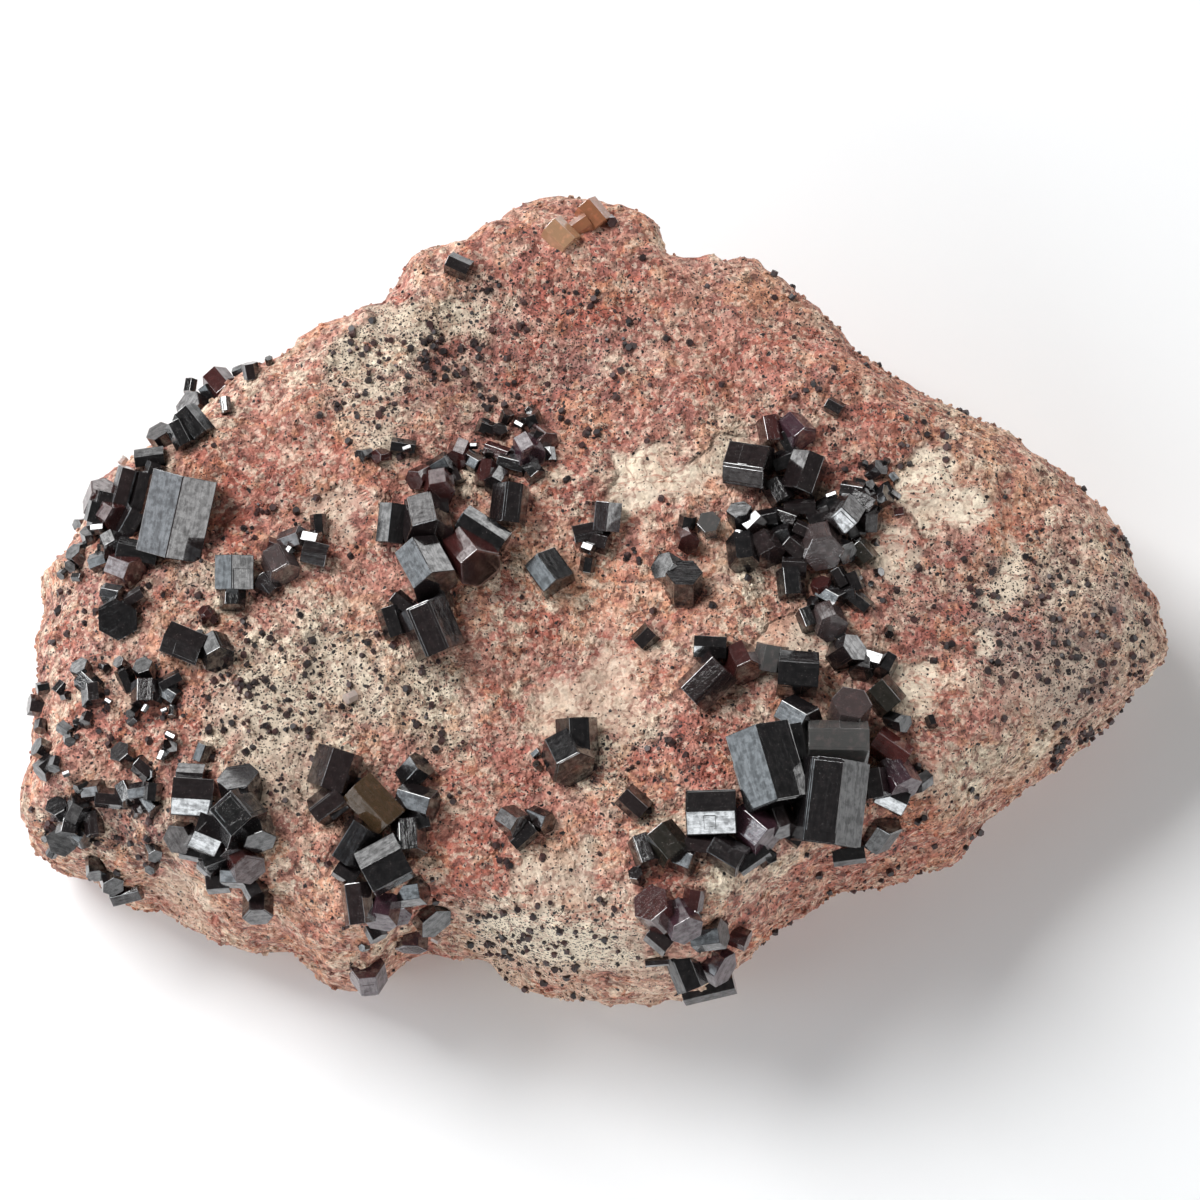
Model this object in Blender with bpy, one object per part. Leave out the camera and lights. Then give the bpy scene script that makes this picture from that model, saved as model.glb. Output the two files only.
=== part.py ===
"""Vanadinite in matrix: dark six-sided crystals grown over a flat slab of red and cream matrix.

Every place on the face is read in millimetres across the face as it is seen from EYE, a viewpoint above
the front of the slab: 'across' runs to the right and 'up' runs to the back. A place is brought down to
the slab along the line of sight, so the crystals stand on the surface that carries them.
"""
import math

import bmesh
import bpy
from mathutils import Matrix, Vector, noise

MM = 0.001

# The slab
PLATEAU_HEIGHT = 31.0
FOOT_SHARE = 0.93
LUMP_HEIGHT = 2.6
LUMP_LENGTH = 21.0
KNOB_HEIGHT = 0.9
KNOB_LENGTH = 6.0
WALL_ROUGHNESS = 1.1
SHOULDER_POWER = 2.3
SLAB_CELLS = 13
TOP_LIMIT = -0.25
FOOT_LIMIT = -0.80
PROFILE_STEPS = 48
PROFILE_ANGLES = 90

# The viewpoint that the places are read from
VIEW_ELEVATION = math.radians(72)
VIEW_DISTANCE = 378.0
VIEW_CENTRE = Vector((0.2, -2.2, 24.0))
HEADROOM = 12.0
SIGHT_STEPS = 20

# The fit between a crystal and its socket in the matrix, and the smallest edge that is kept
SOCKET_GAP = 0.3
MERGE_DISTANCE = 0.005
FLAT_ANGLE = math.radians(0.3)

# The slab's outline, anticlockwise from the right tip: across, up
OUTLINE = (
    (64.4, -6.2), (62.9, -1.7), (60.4, 3.6), (59.3, 6.6), (57.8, 7.9), (54.6, 12.0), (51.2, 14.3),
    (48.0, 17.0), (43.4, 19.6), (37.4, 22.7), (33.4, 25.3), (28.3, 28.9), (22.7, 34.0), (18.1, 37.9),
    (11.3, 38.3), (7.6, 39.6), (6.4, 42.4), (2.3, 44.8), (-4.5, 45.3), (-8.6, 44.6), (-11.3, 43.0),
    (-15.9, 40.6), (-21.3, 38.5), (-24.9, 33.6), (-30.6, 31.0), (-33.6, 29.4), (-37.4, 27.0),
    (-41.2, 25.2), (-43.6, 21.6), (-46.6, 19.4), (-51.2, 17.4), (-56.6, 11.9), (-58.6, 6.4),
    (-60.6, 3.2), (-62.9, 1.1), (-62.5, -3.0), (-64.0, -5.7), (-64.2, -8.5), (-64.0, -12.5),
    (-64.2, -15.0), (-64.0, -20.5), (-65.0, -23.0), (-65.6, -26.6), (-64.0, -28.9), (-61.0, -30.8),
    (-57.0, -32.2), (-54.0, -34.8), (-49.9, -35.3), (-43.1, -39.1), (-36.3, -40.4), (-30.6, -43.8),
    (-26.0, -44.3), (-22.4, -40.8), (-19.3, -39.7), (-13.6, -41.4), (-4.5, -45.3), (2.3, -46.0),
    (11.3, -45.3), (15.9, -41.4), (20.4, -37.4), (26.1, -34.2), (34.0, -31.8), (40.8, -29.3),
    (45.3, -23.6), (51.4, -19.4), (56.7, -15.0), (61.2, -10.2),
)

# Round the slab, by compass angle in degrees: the height of its widest line
BELT = ((-150, 8.0), (-90, 6.0), (-45, 8.0), (-5, 15.0), (25, 21.0), (60, 23.0), (100, 24.0), (135, 24.0),
        (160, 19.0), (-175, 13.0))
# Round the slab: the share of the radius over which the edge rounds down from the plateau
SHOULDER = ((-150, 0.20), (-110, 0.14), (-70, 0.13), (-35, 0.20), (-5, 0.34), (20, 0.26), (50, 0.26),
            (90, 0.22), (125, 0.16), (160, 0.24), (-170, 0.30))
# Hills and hollows of the plateau: x, y, spread, rise
HILLS = (
    (24.0, -17.0, 13.0, 2.4), (-20.0, 4.0, 13.0, 1.8), (-42.0, -22.0, 9.0, 1.2), (-53.0, -26.0, 6.0, -3.2),
    (0.0, -10.0, 14.0, -1.4), (-34.0, 24.0, 12.0, -2.2), (4.0, 33.0, 18.0, -2.0), (47.0, 2.0, 13.0, -3.0),
    (-35.0, -8.0, 12.0, 0.8), (38.0, -22.0, 8.0, -1.8),
)

# Crystals that have grown together, each group one piece. A crystal is given by the middle of its body
# (across, up), its radius to a corner, its length, the heading of its long axis (degrees anticlockwise
# from the right), how far that end turns toward the viewer, its roll, and how high its middle stands.
CRYSTAL_GROUPS = {
    "crystal_upper_block": (
        (-45.5, 21.3, 1.95, 4.0, 145, 45, 0, 1.2),
    ),
    "crystals_upper_left": (
        (-47.5, 18.8, 1.45, 3.0, -62, 8, 0, 1.4),
        (-46.1, 19.9, 1.80, 3.8, -50, 10, 0, 0.9),
    ),
    "crystals_left_rim": (
        (-48.0, 9.7, 4.30, 9.3, 77, 3, -24, 1.9),
        (-50.6, 14.3, 1.40, 2.6, 70, 5, 0, 0.3),
        (-51.9, 12.2, 1.40, 4.4, 77, 0, 0, 0.6),
        (-52.9, 8.6, 1.70, 3.6, 60, 10, 0, 0.2),
        (-52.4, 5.2, 1.60, 4.6, -12, 0, 0, 0.5),
        (-56.4, 9.3, 1.80, 6.0, 78, 0, 0, 0.3),
        (-53.7, 12.9, 1.55, 4.2, 74, 5, 0, 1.2),
        (-55.2, 9.5, 1.70, 2.6, -30, 50, 0, 0.9),
        (-55.3, 6.2, 1.60, 2.0, -60, 45, 0, 1.2),
        (-53.8, 3.4, 1.90, 3.2, -20, 35, 0, 0.8),
        (-56.8, 11.5, 1.90, 3.4, 60, 40, 0, 1.0),
    ),
    "crystal_upper_end": (
        (-42.9, 24.2, 1.90, 3.4, -48, 35, 0, 0.3),
    ),
    "crystals_left_patch": (
        (-54.6, -1.8, 2.50, 3.0, -70, 60, 10, 0.6),
    ),
    "crystals_left_pair": (
        (-47.0, -5.0, 2.30, 4.4, -22, 5, 25, 0.9),
        (-43.6, -5.9, 1.95, 3.0, -60, 45, 0, 0.6),
    ),
    "crystals_left_middle": (
        (-51.4, -10.6, 1.80, 2.6, -88, 20, 0, 0.7),
    ),
    "crystals_far_left": (
        (-57.5, -10.9, 1.40, 2.2, -80, 30, 0, 0.5),
    ),
    "crystals_spiky_corner": (
        (-61.2, -23.9, 1.40, 2.4, 120, 50, 0, 0.5),
        (-59.2, -23.6, 1.40, 2.6, 60, 30, 0, 0.4),
        (-59.9, -25.2, 1.60, 3.2, -100, 20, 0, 0.2),
        (-60.8, -26.9, 1.90, 2.6, -110, 60, 0, 0.8),
        (-57.3, -21.6, 1.20, 2.4, 10, 30, 0, 0.2),
        (-55.4, -22.5, 1.20, 3.4, -5, 0, 0, 0.3),
        (-53.6, -22.0, 1.20, 2.4, -60, 30, 0, 0.4),
    ),
    "crystals_lower_left_corner": (
        (-57.1, -30.2, 1.30, 2.6, -80, 35, 0, 0.6),
        (-55.4, -31.8, 1.40, 2.4, -60, 50, 0, 0.4),
    ),
    "crystals_lower_left": (
        (-46.3, -20.0, 1.60, 3.0, -3, 5, 10, 0.9),
        (-46.2, -22.4, 2.55, 4.4, -4, 0, 0, 1.2),
        (-44.7, -26.6, 2.60, 3.2, -24, 5, 0, 1.6),
        (-47.2, -26.8, 1.90, 2.6, -150, 60, 0, 0.8),
        (-43.4, -29.0, 1.60, 3.0, 20, 0, 0, 0.2),
        (-40.8, -21.3, 2.50, 3.4, 100, 35, 0, 0.7),
        (-41.1, -24.6, 3.15, 3.8, -48, 15, 0, 1.8),
        (-38.9, -26.3, 2.00, 3.0, -70, 40, 0, 1.0),
        (-41.8, -27.7, 1.50, 2.6, -80, 30, 0, 0.5),
        (-40.3, -29.6, 2.15, 3.2, -50, 50, 0, 0.7),
        (-41.2, -31.3, 1.50, 2.8, 0, 20, 0, 0.6),
        (-43.2, -31.9, 1.45, 2.5, 5, 5, 0, 0.9),
        (-39.4, -32.2, 1.40, 3.0, -60, 20, 0, 0.5),
        (-38.8, -34.0, 1.85, 4.4, -87, 36, 0, 1.0),
    ),
    "crystals_bright_face": (
        (-41.4, 3.1, 2.50, 3.8, 90, 0, -18, 1.0),
        (-41.6, 0.4, 1.50, 3.0, -90, 25, 0, 0.3),
    ),
    "crystals_left_red": (
        (-36.3, 3.9, 2.00, 3.2, -60, 35, 0, 0.9),
        (-34.8, 6.7, 1.50, 2.8, 20, 25, 0, 0.5),
        (-32.3, 5.1, 1.50, 2.8, -13, 3, 25, 0.9),
        (-32.7, 6.9, 1.10, 1.9, -10, 0, 0, 1.0),
    ),
    "crystals_centre_left": (
        (-23.4, 8.6, 1.90, 4.4, 84, -5, 20, 0.9),
        (-19.7, 8.6, 2.85, 4.8, -75, 46, 0, 1.4),
        (-13.3, 7.7, 1.95, 5.6, -33, 5, 10, 1.2),
        (-10.3, 10.7, 2.20, 4.5, -96, 12, -10, 1.0),
        (-14.6, 5.0, 2.75, 4.8, -50, 46, 0, 1.4),
        (-19.7, 3.5, 2.95, 5.4, -60, 32, 20, 1.6),
        (-19.2, -3.3, 3.05, 5.7, -67, 4, 5, 1.2),
        (-23.5, -2.5, 1.50, 3.4, -72, 5, 0, 0.3),
        (-18.2, 12.7, 1.90, 3.0, -80, 55, 0, 1.1),
        (-18.0, 15.1, 1.40, 2.6, 30, 20, 0, 0.5),
        (-16.0, 16.6, 1.40, 2.6, -110, 50, 0, 0.9),
        (-14.6, 15.8, 1.20, 2.8, -30, 25, 0, 0.6),
        (-13.0, 14.3, 1.20, 2.8, -95, 25, 0, 0.6),
        (-11.7, 13.5, 1.35, 2.4, -120, 50, 0, 0.8),
        (-9.9, 15.3, 1.30, 3.2, -15, 15, 0, 0.3),
        (-8.1, 16.9, 1.80, 3.0, -60, 50, 0, 1.3),
        (-6.4, 18.4, 1.40, 2.8, -40, 50, 0, 0.7),
        (-7.7, 20.0, 1.40, 2.6, 110, 20, 0, 0.3),
    ),
    "crystal_blue_face": (
        (-5.7, 3.0, 2.40, 3.9, -54, 6, 20, 1.0),
    ),
    "crystals_centre_trio": (
        (0.6, 9.5, 1.90, 3.3, 84, 3, -18, 1.0),
        (-0.3, 6.7, 1.40, 2.8, -15, 15, 0, 0.4),
    ),
    "crystals_centre_barrels": (
        (9.5, 1.8, 2.15, 3.8, 90, 46, 0, 1.1),
        (7.9, 3.4, 1.75, 2.8, 150, 42, 0, 0.8),
    ),
    "crystals_small_barrels": (
        (9.8, 6.9, 1.45, 2.4, -70, 55, 0, 0.6),
        (9.8, 8.5, 1.05, 2.2, 80, 20, 0, 0.4),
    ),
    "crystal_round_end": (
        (12.4, 8.4, 1.40, 2.2, 100, 65, 0, 0.5),
    ),
    "crystal_small_box": (
        (5.2, -4.2, 1.35, 2.2, 45, 8, 0, 0.5),
    ),
    "crystals_centre_row": (
        (12.2, -9.2, 2.65, 4.9, 45, 5, 30, 1.1),
        (12.5, -5.4, 1.40, 3.6, -3, 0, 15, 0.6),
        (16.1, -7.1, 1.95, 3.2, -65, 42, 0, 0.8),
        (19.3, -6.5, 1.95, 2.9, 80, 3, 0, 0.9),
        (22.4, -8.3, 2.60, 4.4, -4, 0, 0, 1.2),
    ),
    "crystals_twin": (
        (-2.5, -16.0, 2.50, 5.0, -87, 4, -8, 1.0),
        (-3.6, -17.9, 2.65, 4.0, -62, 44, 0, 1.5),
    ),
    "crystal_mirror_bar": (
        (3.8, -23.0, 1.55, 3.1, -42, 3, 0, 0.7),
    ),
    "crystals_low_trio": (
        (-9.8, -25.3, 1.75, 2.8, -30, 42, 0, 0.6),
        (-6.8, -25.0, 1.40, 2.6, -20, 35, 0, 0.5),
    ),
    "crystals_lower_centre": (
        (-25.6, -23.2, 2.50, 5.6, -47, 4, 30, 1.4),
        (-20.7, -23.0, 2.00, 4.0, -15, 20, 0, 0.8),
        (-21.7, -27.1, 2.00, 3.6, -85, 25, 0, 0.6),
        (-27.6, -27.6, 2.20, 4.6, 58, 4, -15, 0.9),
        (-24.4, -30.0, 2.85, 4.8, 28, 3, 25, 2.0),
        (-27.4, -34.4, 1.80, 4.4, -82, 5, 10, 1.1),
        (-24.6, -35.1, 1.95, 3.4, -100, 38, 0, 0.6),
        (-22.7, -35.1, 1.35, 2.6, -80, 55, 0, 1.1),
        (-21.5, -33.0, 1.85, 3.4, 10, 20, 0, 0.7),
        (-30.1, -19.2, 2.70, 4.4, 72, -4, 8, 1.1),
        (-30.6, -23.0, 1.95, 3.8, 38, 10, 0, 0.7),
        (-21.0, -19.5, 1.80, 2.7, 48, 20, 25, 0.8),
    ),
    "crystal_lower_cube": (
        (-19.4, -35.6, 2.25, 3.4, -50, 36, 0, 0.9),
    ),
    "crystal_lower_wall": (
        (-21.3, -38.1, 1.90, 3.2, -92, 22, 0, 0.4),
    ),
    "crystal_front_edge": (
        (-26.3, -42.2, 2.30, 3.4, 95, 48, 0, 0.6),
    ),
    "crystals_right_swarm": (
        (15.9, 9.3, 1.50, 2.6, 100, 38, 0, 0.5),
        (18.9, 9.1, 1.25, 2.8, 10, 15, 0, 0.4),
        (16.2, 5.4, 1.85, 3.6, -85, 36, 0, 0.9),
        (18.8, 5.7, 1.95, 3.0, -60, 38, 0, 0.7),
        (20.6, 7.2, 1.35, 2.6, 20, 20, 0, 0.6),
        (21.2, 9.2, 1.30, 2.6, -20, 20, 0, 0.5),
        (22.6, 10.3, 1.25, 3.6, 3, 0, 0, 0.4),
        (27.6, 9.8, 2.40, 2.6, -43, 2, 0, 2.0),
        (30.0, 11.0, 1.60, 2.8, -30, 20, 0, 0.8),
        (30.6, 9.3, 1.45, 2.4, 90, 30, 0, 0.6),
        (25.1, 6.1, 2.45, 3.4, -80, 60, 0, 1.8),
        (27.2, 5.6, 1.50, 2.8, -20, 45, 0, 1.3),
        (29.8, 5.2, 1.45, 2.4, -50, 20, 0, 0.7),
        (22.2, 5.6, 1.50, 2.6, -40, 20, 0, 0.7),
        (22.0, 3.7, 1.25, 2.8, -3, 3, 0, 0.9),
        (21.7, 1.8, 1.65, 3.2, -85, 18, 0, 0.5),
        (16.9, 15.2, 3.00, 4.6, -9, 16, 30, 1.3),
        (23.3, 14.2, 2.40, 4.5, -110, 12, -12, 1.1),
        (21.3, 15.8, 1.50, 3.0, 20, 15, 0, 0.4),
        (20.2, 12.2, 1.50, 2.8, -60, 25, 0, 0.4),
        (19.4, 19.1, 1.60, 3.0, -80, 20, 0, 0.4),
        (22.4, 19.2, 1.90, 3.2, -50, 38, 0, 0.7),
    ),
    "crystals_right_chain": (
        (26.2, 0.4, 1.30, 2.8, -30, 30, 0, 0.5),
        (28.0, 0.6, 1.10, 2.4, 10, 20, 0, 0.4),
        (25.9, -2.5, 2.00, 3.0, -70, 55, 0, 1.1),
        (27.9, -5.9, 1.85, 3.2, 35, 45, 0, 0.9),
        (29.7, -7.6, 1.45, 2.4, -100, 45, 0, 0.5),
    ),
    "crystal_striated": (
        (32.2, -10.9, 1.95, 3.2, -50, 5, 0, 0.8),
    ),
    "crystals_right_large": (
        (19.0, -19.2, 4.10, 8.6, -74, 5, 24, 2.0),
        (26.2, -22.9, 4.35, 9.0, -97, 5, 14, 2.4),
        (27.0, -16.2, 2.55, 6.5, -1, 0, -12, 2.8),
        (22.5, -13.3, 2.20, 3.6, -30, 32, 0, 1.0),
        (28.2, -13.0, 2.30, 4.8, 80, 52, 0, 1.6),
        (22.3, -16.0, 1.80, 3.8, -80, 5, 0, 1.0),
        (12.7, -24.0, 2.95, 5.3, 2, 0, 12, 1.3),
        (17.6, -25.9, 2.50, 4.4, -40, 28, 0, 0.8),
        (20.6, -25.0, 1.50, 3.0, -70, 35, 0, 1.3),
        (7.7, -27.6, 2.20, 3.6, -50, 22, 0, 1.0),
        (5.1, -28.5, 1.70, 3.2, -70, 28, 0, 0.5),
        (9.4, -29.2, 1.70, 3.2, -20, 25, 0, 0.3),
        (11.4, -27.9, 1.45, 3.4, -8, 3, 0, 0.7),
        (14.6, -28.8, 1.90, 3.8, -30, 18, 0, 0.7),
        (33.0, -22.5, 1.55, 3.4, -26, 3, 10, 1.1),
        (33.7, -20.2, 2.30, 3.6, -60, 32, 0, 0.9),
        (31.0, -20.9, 1.80, 3.2, -80, 10, 0, 1.2),
        (32.9, -17.0, 1.80, 4.2, -35, 5, 0, 0.7),
    ),
    "crystals_right_low": (
        (28.2, -28.7, 1.40, 3.6, 8, 5, 0, 0.6),
        (31.9, -26.4, 1.90, 3.4, 60, 38, 0, 0.8),
    ),
    "crystal_bottom_edge": (
        (12.3, -43.9, 1.60, 6.0, 14, 5, 0, 0.3),
    ),
    "crystals_bottom": (
        (6.4, -35.0, 2.40, 3.4, 130, 48, 0, 0.7),
        (9.3, -36.4, 2.00, 3.4, -60, 48, 0, 1.3),
        (6.9, -38.4, 1.50, 2.8, -40, 10, 0, 0.9),
    ),
    "crystal_bottom_middle": (
        (12.4, -38.0, 1.90, 3.4, 10, 22, 0, 0.6),
    ),
    "crystals_bottom_front": (
        (9.5, -41.6, 2.00, 5.2, -68, 3, 0, 1.5),
        (12.8, -41.0, 2.30, 3.8, -30, 28, 0, 0.8),
    ),
    "crystals_tan": (
        (-4.4, 41.3, 1.75, 3.4, -45, 15, 0, 0.5),
        (-2.5, 42.2, 1.20, 3.2, 35, 5, 0, 0.2),
        (-0.8, 43.6, 1.75, 3.2, -50, 22, 0, 0.5),
    ),
    "crystal_back_dark": (
        (-16.0, 37.8, 1.35, 2.8, -25, 8, 0, 0.5),
    ),
}

# Small crystals that stand alone, grown fast to the matrix, in the same columns
FAST_CRYSTALS = (
    (-63.6, -12.0, 1.30, 2.4, 170, 20, 0, 0.0),
    (-63.0, -17.0, 1.20, 2.2, 150, 30, 0, 0.2),
    (-62.7, -19.0, 1.30, 2.2, -140, 30, 0, 0.2),
    (-54.0, -17.6, 1.30, 2.0, 130, 50, 0, 0.4),
    (-49.1, -17.0, 1.00, 1.8, 50, 40, 0, 0.3),
    (-44.6, -1.8, 1.00, 1.6, 90, 50, 0, 0.3),
    (-39.6, 26.0, 1.00, 1.8, 100, 20, 0, 0.2),
    (-22.3, 17.3, 1.10, 2.8, -8, 0, 0, 0.4),
    (-12.9, 19.5, 1.00, 2.0, 160, 20, 0, 0.4),
    (-11.5, 18.9, 0.95, 1.6, 70, 50, 0, 0.4),
    (-50.7, -28.5, 1.00, 1.8, -60, 45, 0, 0.4),
    (15.4, -38.1, 1.30, 3.0, -20, 15, 0, 0.2),
    (-25.6, -37.4, 1.15, 2.4, -60, 30, 0, 0.3),
    (31.3, 14.6, 1.10, 2.0, 40, 40, 0, 0.3),
    (-1.4, 4.1, 0.95, 1.7, 80, 10, 0, 0.3),
    (26.6, 21.8, 1.00, 2.0, -30, 20, 0, 0.2),
)

# Materials: base colour, roughness
FINISHES = {
    "matrix": ((0.47, 0.28, 0.23), 0.85),
    "crystal_dark": ((0.035, 0.026, 0.025), 0.22),
    "crystal_tan": ((0.42, 0.22, 0.09), 0.30),
}
TAN_GROUPS = ("crystals_tan",)

ACROSS = Vector((1, 0, 0))
UP = Vector((0, math.sin(VIEW_ELEVATION), math.cos(VIEW_ELEVATION)))
TOWARD = Vector((0, -math.cos(VIEW_ELEVATION), math.sin(VIEW_ELEVATION)))
EYE = VIEW_CENTRE + VIEW_DISTANCE * TOWARD


def clear_scene():
    """Empty the scene of its objects."""
    for thing in list(bpy.data.objects):
        bpy.data.objects.remove(thing, do_unlink=True)


def new_collection(name):
    """A collection of this name in the scene."""
    collection = bpy.data.collections.new(name)
    bpy.context.scene.collection.children.link(collection)
    return collection


def sight_point(across, up, height):
    """The point at this height on the line of sight through a place on the face."""
    on_plane = VIEW_CENTRE + across * ACROSS + up * UP
    share = (EYE.z - height) / (EYE.z - on_plane.z)
    return EYE + share * (on_plane - EYE)


def round_the_slab(table, angle):
    """The value of a table of (degrees, value) at an angle, eased from one entry to the next."""
    entries = sorted((math.radians(degrees) % math.tau, value) for degrees, value in table)
    angle %= math.tau
    before = entries[-1]
    before = (before[0] - math.tau, before[1])
    for entry in entries + [(entries[0][0] + math.tau, entries[0][1])]:
        if angle <= entry[0]:
            share = (angle - before[0]) / (entry[0] - before[0])
            ease = share * share * (3 - 2 * share)
            return before[1] + (entry[1] - before[1]) * ease
        before = entry
    return before[1]


def outline_points():
    """The outline as (angle, radius) about the origin, each point at the height of the widest line."""
    points = []
    for across, up in OUTLINE:
        height = round_the_slab(BELT, math.atan2(up, across))
        place = sight_point(across, up, height)
        points.append((math.atan2(place.y, place.x) % math.tau, math.hypot(place.x, place.y)))
    return sorted(points)


RIM = outline_points()


def rim_radius(angle):
    """The slab's radius at its widest line."""
    angle %= math.tau
    before = (RIM[-1][0] - math.tau, RIM[-1][1])
    for entry in RIM + [(RIM[0][0] + math.tau, RIM[0][1])]:
        if angle <= entry[0]:
            share = (angle - before[0]) / (entry[0] - before[0])
            return before[1] + (entry[1] - before[1]) * share
        before = entry
    return before[1]


def plateau_height(x, y):
    """The height of the face before its edge is rounded down."""
    height = PLATEAU_HEIGHT
    for hill_x, hill_y, spread, rise in HILLS:
        height += rise * math.exp(-((x - hill_x) ** 2 + (y - hill_y) ** 2) / (2 * spread ** 2))
    height += LUMP_HEIGHT * noise.noise(Vector((x / LUMP_LENGTH, y / LUMP_LENGTH, 3.1)))
    height += KNOB_HEIGHT * noise.noise(Vector((x / KNOB_LENGTH, y / KNOB_LENGTH, 7.7)))
    return height


def top_height(x, y):
    """The height of the slab's upper surface, falling away beyond its widest line."""
    angle = math.atan2(y, x)
    radius = math.hypot(x, y)
    rim = rim_radius(angle)
    belt = round_the_slab(BELT, angle)
    inset = (1 - radius / rim) / round_the_slab(SHOULDER, angle)
    if inset <= 0:
        return belt - (radius - rim)
    rise = (1 - (1 - min(inset, 1)) ** SHOULDER_POWER) ** (1 / SHOULDER_POWER)
    return belt + (plateau_height(x, y) - belt) * rise


def even_shares(angle):
    """Shares of the radius at even steps along the surface, from the middle out to the widest line."""
    rim = rim_radius(angle)
    places = []
    for step in range(PROFILE_STEPS + 1):
        share = step / PROFILE_STEPS
        radius = share * rim
        places.append((share, radius, top_height(radius * math.cos(angle), radius * math.sin(angle))))
    lengths = [0.0]
    for first, second in zip(places, places[1:]):
        lengths.append(lengths[-1] + math.hypot(second[1] - first[1], second[2] - first[2]))
    shares = []
    index = 0
    for step in range(PROFILE_STEPS + 1):
        target = lengths[-1] * step / PROFILE_STEPS
        while index < PROFILE_STEPS - 1 and lengths[index + 1] < target:
            index += 1
        part = (target - lengths[index]) / (lengths[index + 1] - lengths[index])
        shares.append(places[index][0] + part * (places[index + 1][0] - places[index][0]))
    return shares


SPACING = [even_shares(math.tau * index / PROFILE_ANGLES) for index in range(PROFILE_ANGLES)]


def spaced_share(angle, fraction):
    """The share of the radius at a fraction of the way along the surface."""
    turn = (angle % math.tau) / math.tau * PROFILE_ANGLES
    first = int(turn) % PROFILE_ANGLES
    second = (first + 1) % PROFILE_ANGLES
    step = min(fraction * PROFILE_STEPS, PROFILE_STEPS - 1e-6)
    low = int(step)
    values = []
    for row in (SPACING[first], SPACING[second]):
        values.append(row[low] + (row[low + 1] - row[low]) * (step - low))
    return values[0] + (values[1] - values[0]) * (turn - int(turn))


def slab_point(direction):
    """The point of the slab that a direction from its middle is shaped to."""
    angle = math.atan2(direction.y, direction.x)
    rim = rim_radius(angle)
    if direction.z >= TOP_LIMIT:
        fraction = math.sqrt((1 - direction.z) / (1 - TOP_LIMIT))
        radius = spaced_share(angle, fraction) * rim
        x = radius * math.cos(angle)
        y = radius * math.sin(angle)
        return Vector((x, y, top_height(x, y)))
    if direction.z > FOOT_LIMIT:
        fall = (TOP_LIMIT - direction.z) / (TOP_LIMIT - FOOT_LIMIT)
        height = round_the_slab(BELT, angle) * (1 - fall)
        radius = rim * (1 - (1 - FOOT_SHARE) * fall ** 1.5)
        radius += WALL_ROUGHNESS * fall * noise.noise(direction * 9.0)
        return Vector((radius * math.cos(angle), radius * math.sin(angle), height))
    share = FOOT_SHARE * math.sqrt((1 + direction.z) / (1 + FOOT_LIMIT))
    return Vector((share * rim * math.cos(angle), share * rim * math.sin(angle), 0.0))


def make_finish(name):
    """A material with the finish of this name."""
    colour, roughness = FINISHES[name]
    material = bpy.data.materials.new(name)
    material.use_nodes = True
    shader = material.node_tree.nodes["Principled BSDF"]
    shader.inputs["Base Color"].default_value = (*colour, 1)
    shader.inputs["Roughness"].default_value = roughness
    shader.inputs["Metallic"].default_value = 0
    material.diffuse_color = (*colour, 1)
    return material


def new_object(name, builder, collection, finish=None):
    """An object of the mesh that a builder's bmesh holds, from millimetres to metres."""
    bmesh.ops.scale(builder, vec=(MM, MM, MM), verts=builder.verts)
    mesh = bpy.data.meshes.new(name)
    builder.to_mesh(mesh)
    builder.free()
    thing = bpy.data.objects.new(name, mesh)
    collection.objects.link(thing)
    if finish:
        mesh.materials.append(finish)
    return thing


def hide_cutter(cutter):
    """Mark an object as one that only shapes others."""
    cutter.hide_render = True
    cutter.display_type = "WIRE"


def shaped_slab(collection, finish):
    """The slab before anything grows on it: a cube rounded to a ball and shaped to the slab."""
    builder = bmesh.new()
    bmesh.ops.create_cube(builder, size=2)
    bmesh.ops.subdivide_edges(builder, edges=builder.edges, cuts=SLAB_CELLS - 1, use_grid_fill=True)
    for vertex in builder.verts:
        even = Vector([math.tan(value * math.pi / 4) for value in vertex.co])
        vertex.co = slab_point(even.normalized())
    bmesh.ops.triangulate(builder, faces=builder.faces)
    return new_object("matrix", builder, collection, finish)


def crystal_matrix(row):
    """The place and turn of a crystal: its long axis along Z, its widest face toward the viewer."""
    across, up, _, _, heading, toward, roll, lift = row
    heading = math.radians(heading)
    toward = math.radians(toward)
    in_face = math.cos(heading) * ACROSS + math.sin(heading) * UP
    axis = math.cos(toward) * in_face + math.sin(toward) * TOWARD
    face = TOWARD - TOWARD.dot(axis) * axis
    face.normalize()
    face = Matrix.Rotation(math.radians(roll), 3, axis) @ face
    side = axis.cross(face)
    low = 0.0
    high = PLATEAU_HEIGHT + HEADROOM
    for _ in range(SIGHT_STEPS):
        height = (low + high) / 2
        place = sight_point(across, up, height)
        if top_height(place.x, place.y) + lift > height:
            low = height
        else:
            high = height
    turn = Matrix((face, side, axis)).transposed().to_4x4()
    return Matrix.Translation(place) @ turn


def add_crystal(builder, row, growth):
    """A six-sided prism for one crystal, larger all round by the growth."""
    bmesh.ops.create_cone(
        builder, cap_ends=True, segments=6, radius1=row[2] + growth, radius2=row[2] + growth,
        depth=row[3] + 2 * growth, matrix=crystal_matrix(row))


def crystal_object(name, rows, collection, finish=None, growth=0.0):
    """The crystals of one group, each a closed prism."""
    builder = bmesh.new()
    for row in rows:
        add_crystal(builder, row, growth)
    return new_object(name, builder, collection, finish)


def cut(thing, cutter, operation, crossing=False):
    """Shape an object by another with a Boolean."""
    modifier = thing.modifiers.new(operation.title(), "BOOLEAN")
    modifier.operation = operation
    modifier.object = cutter
    modifier.use_self = crossing


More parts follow.
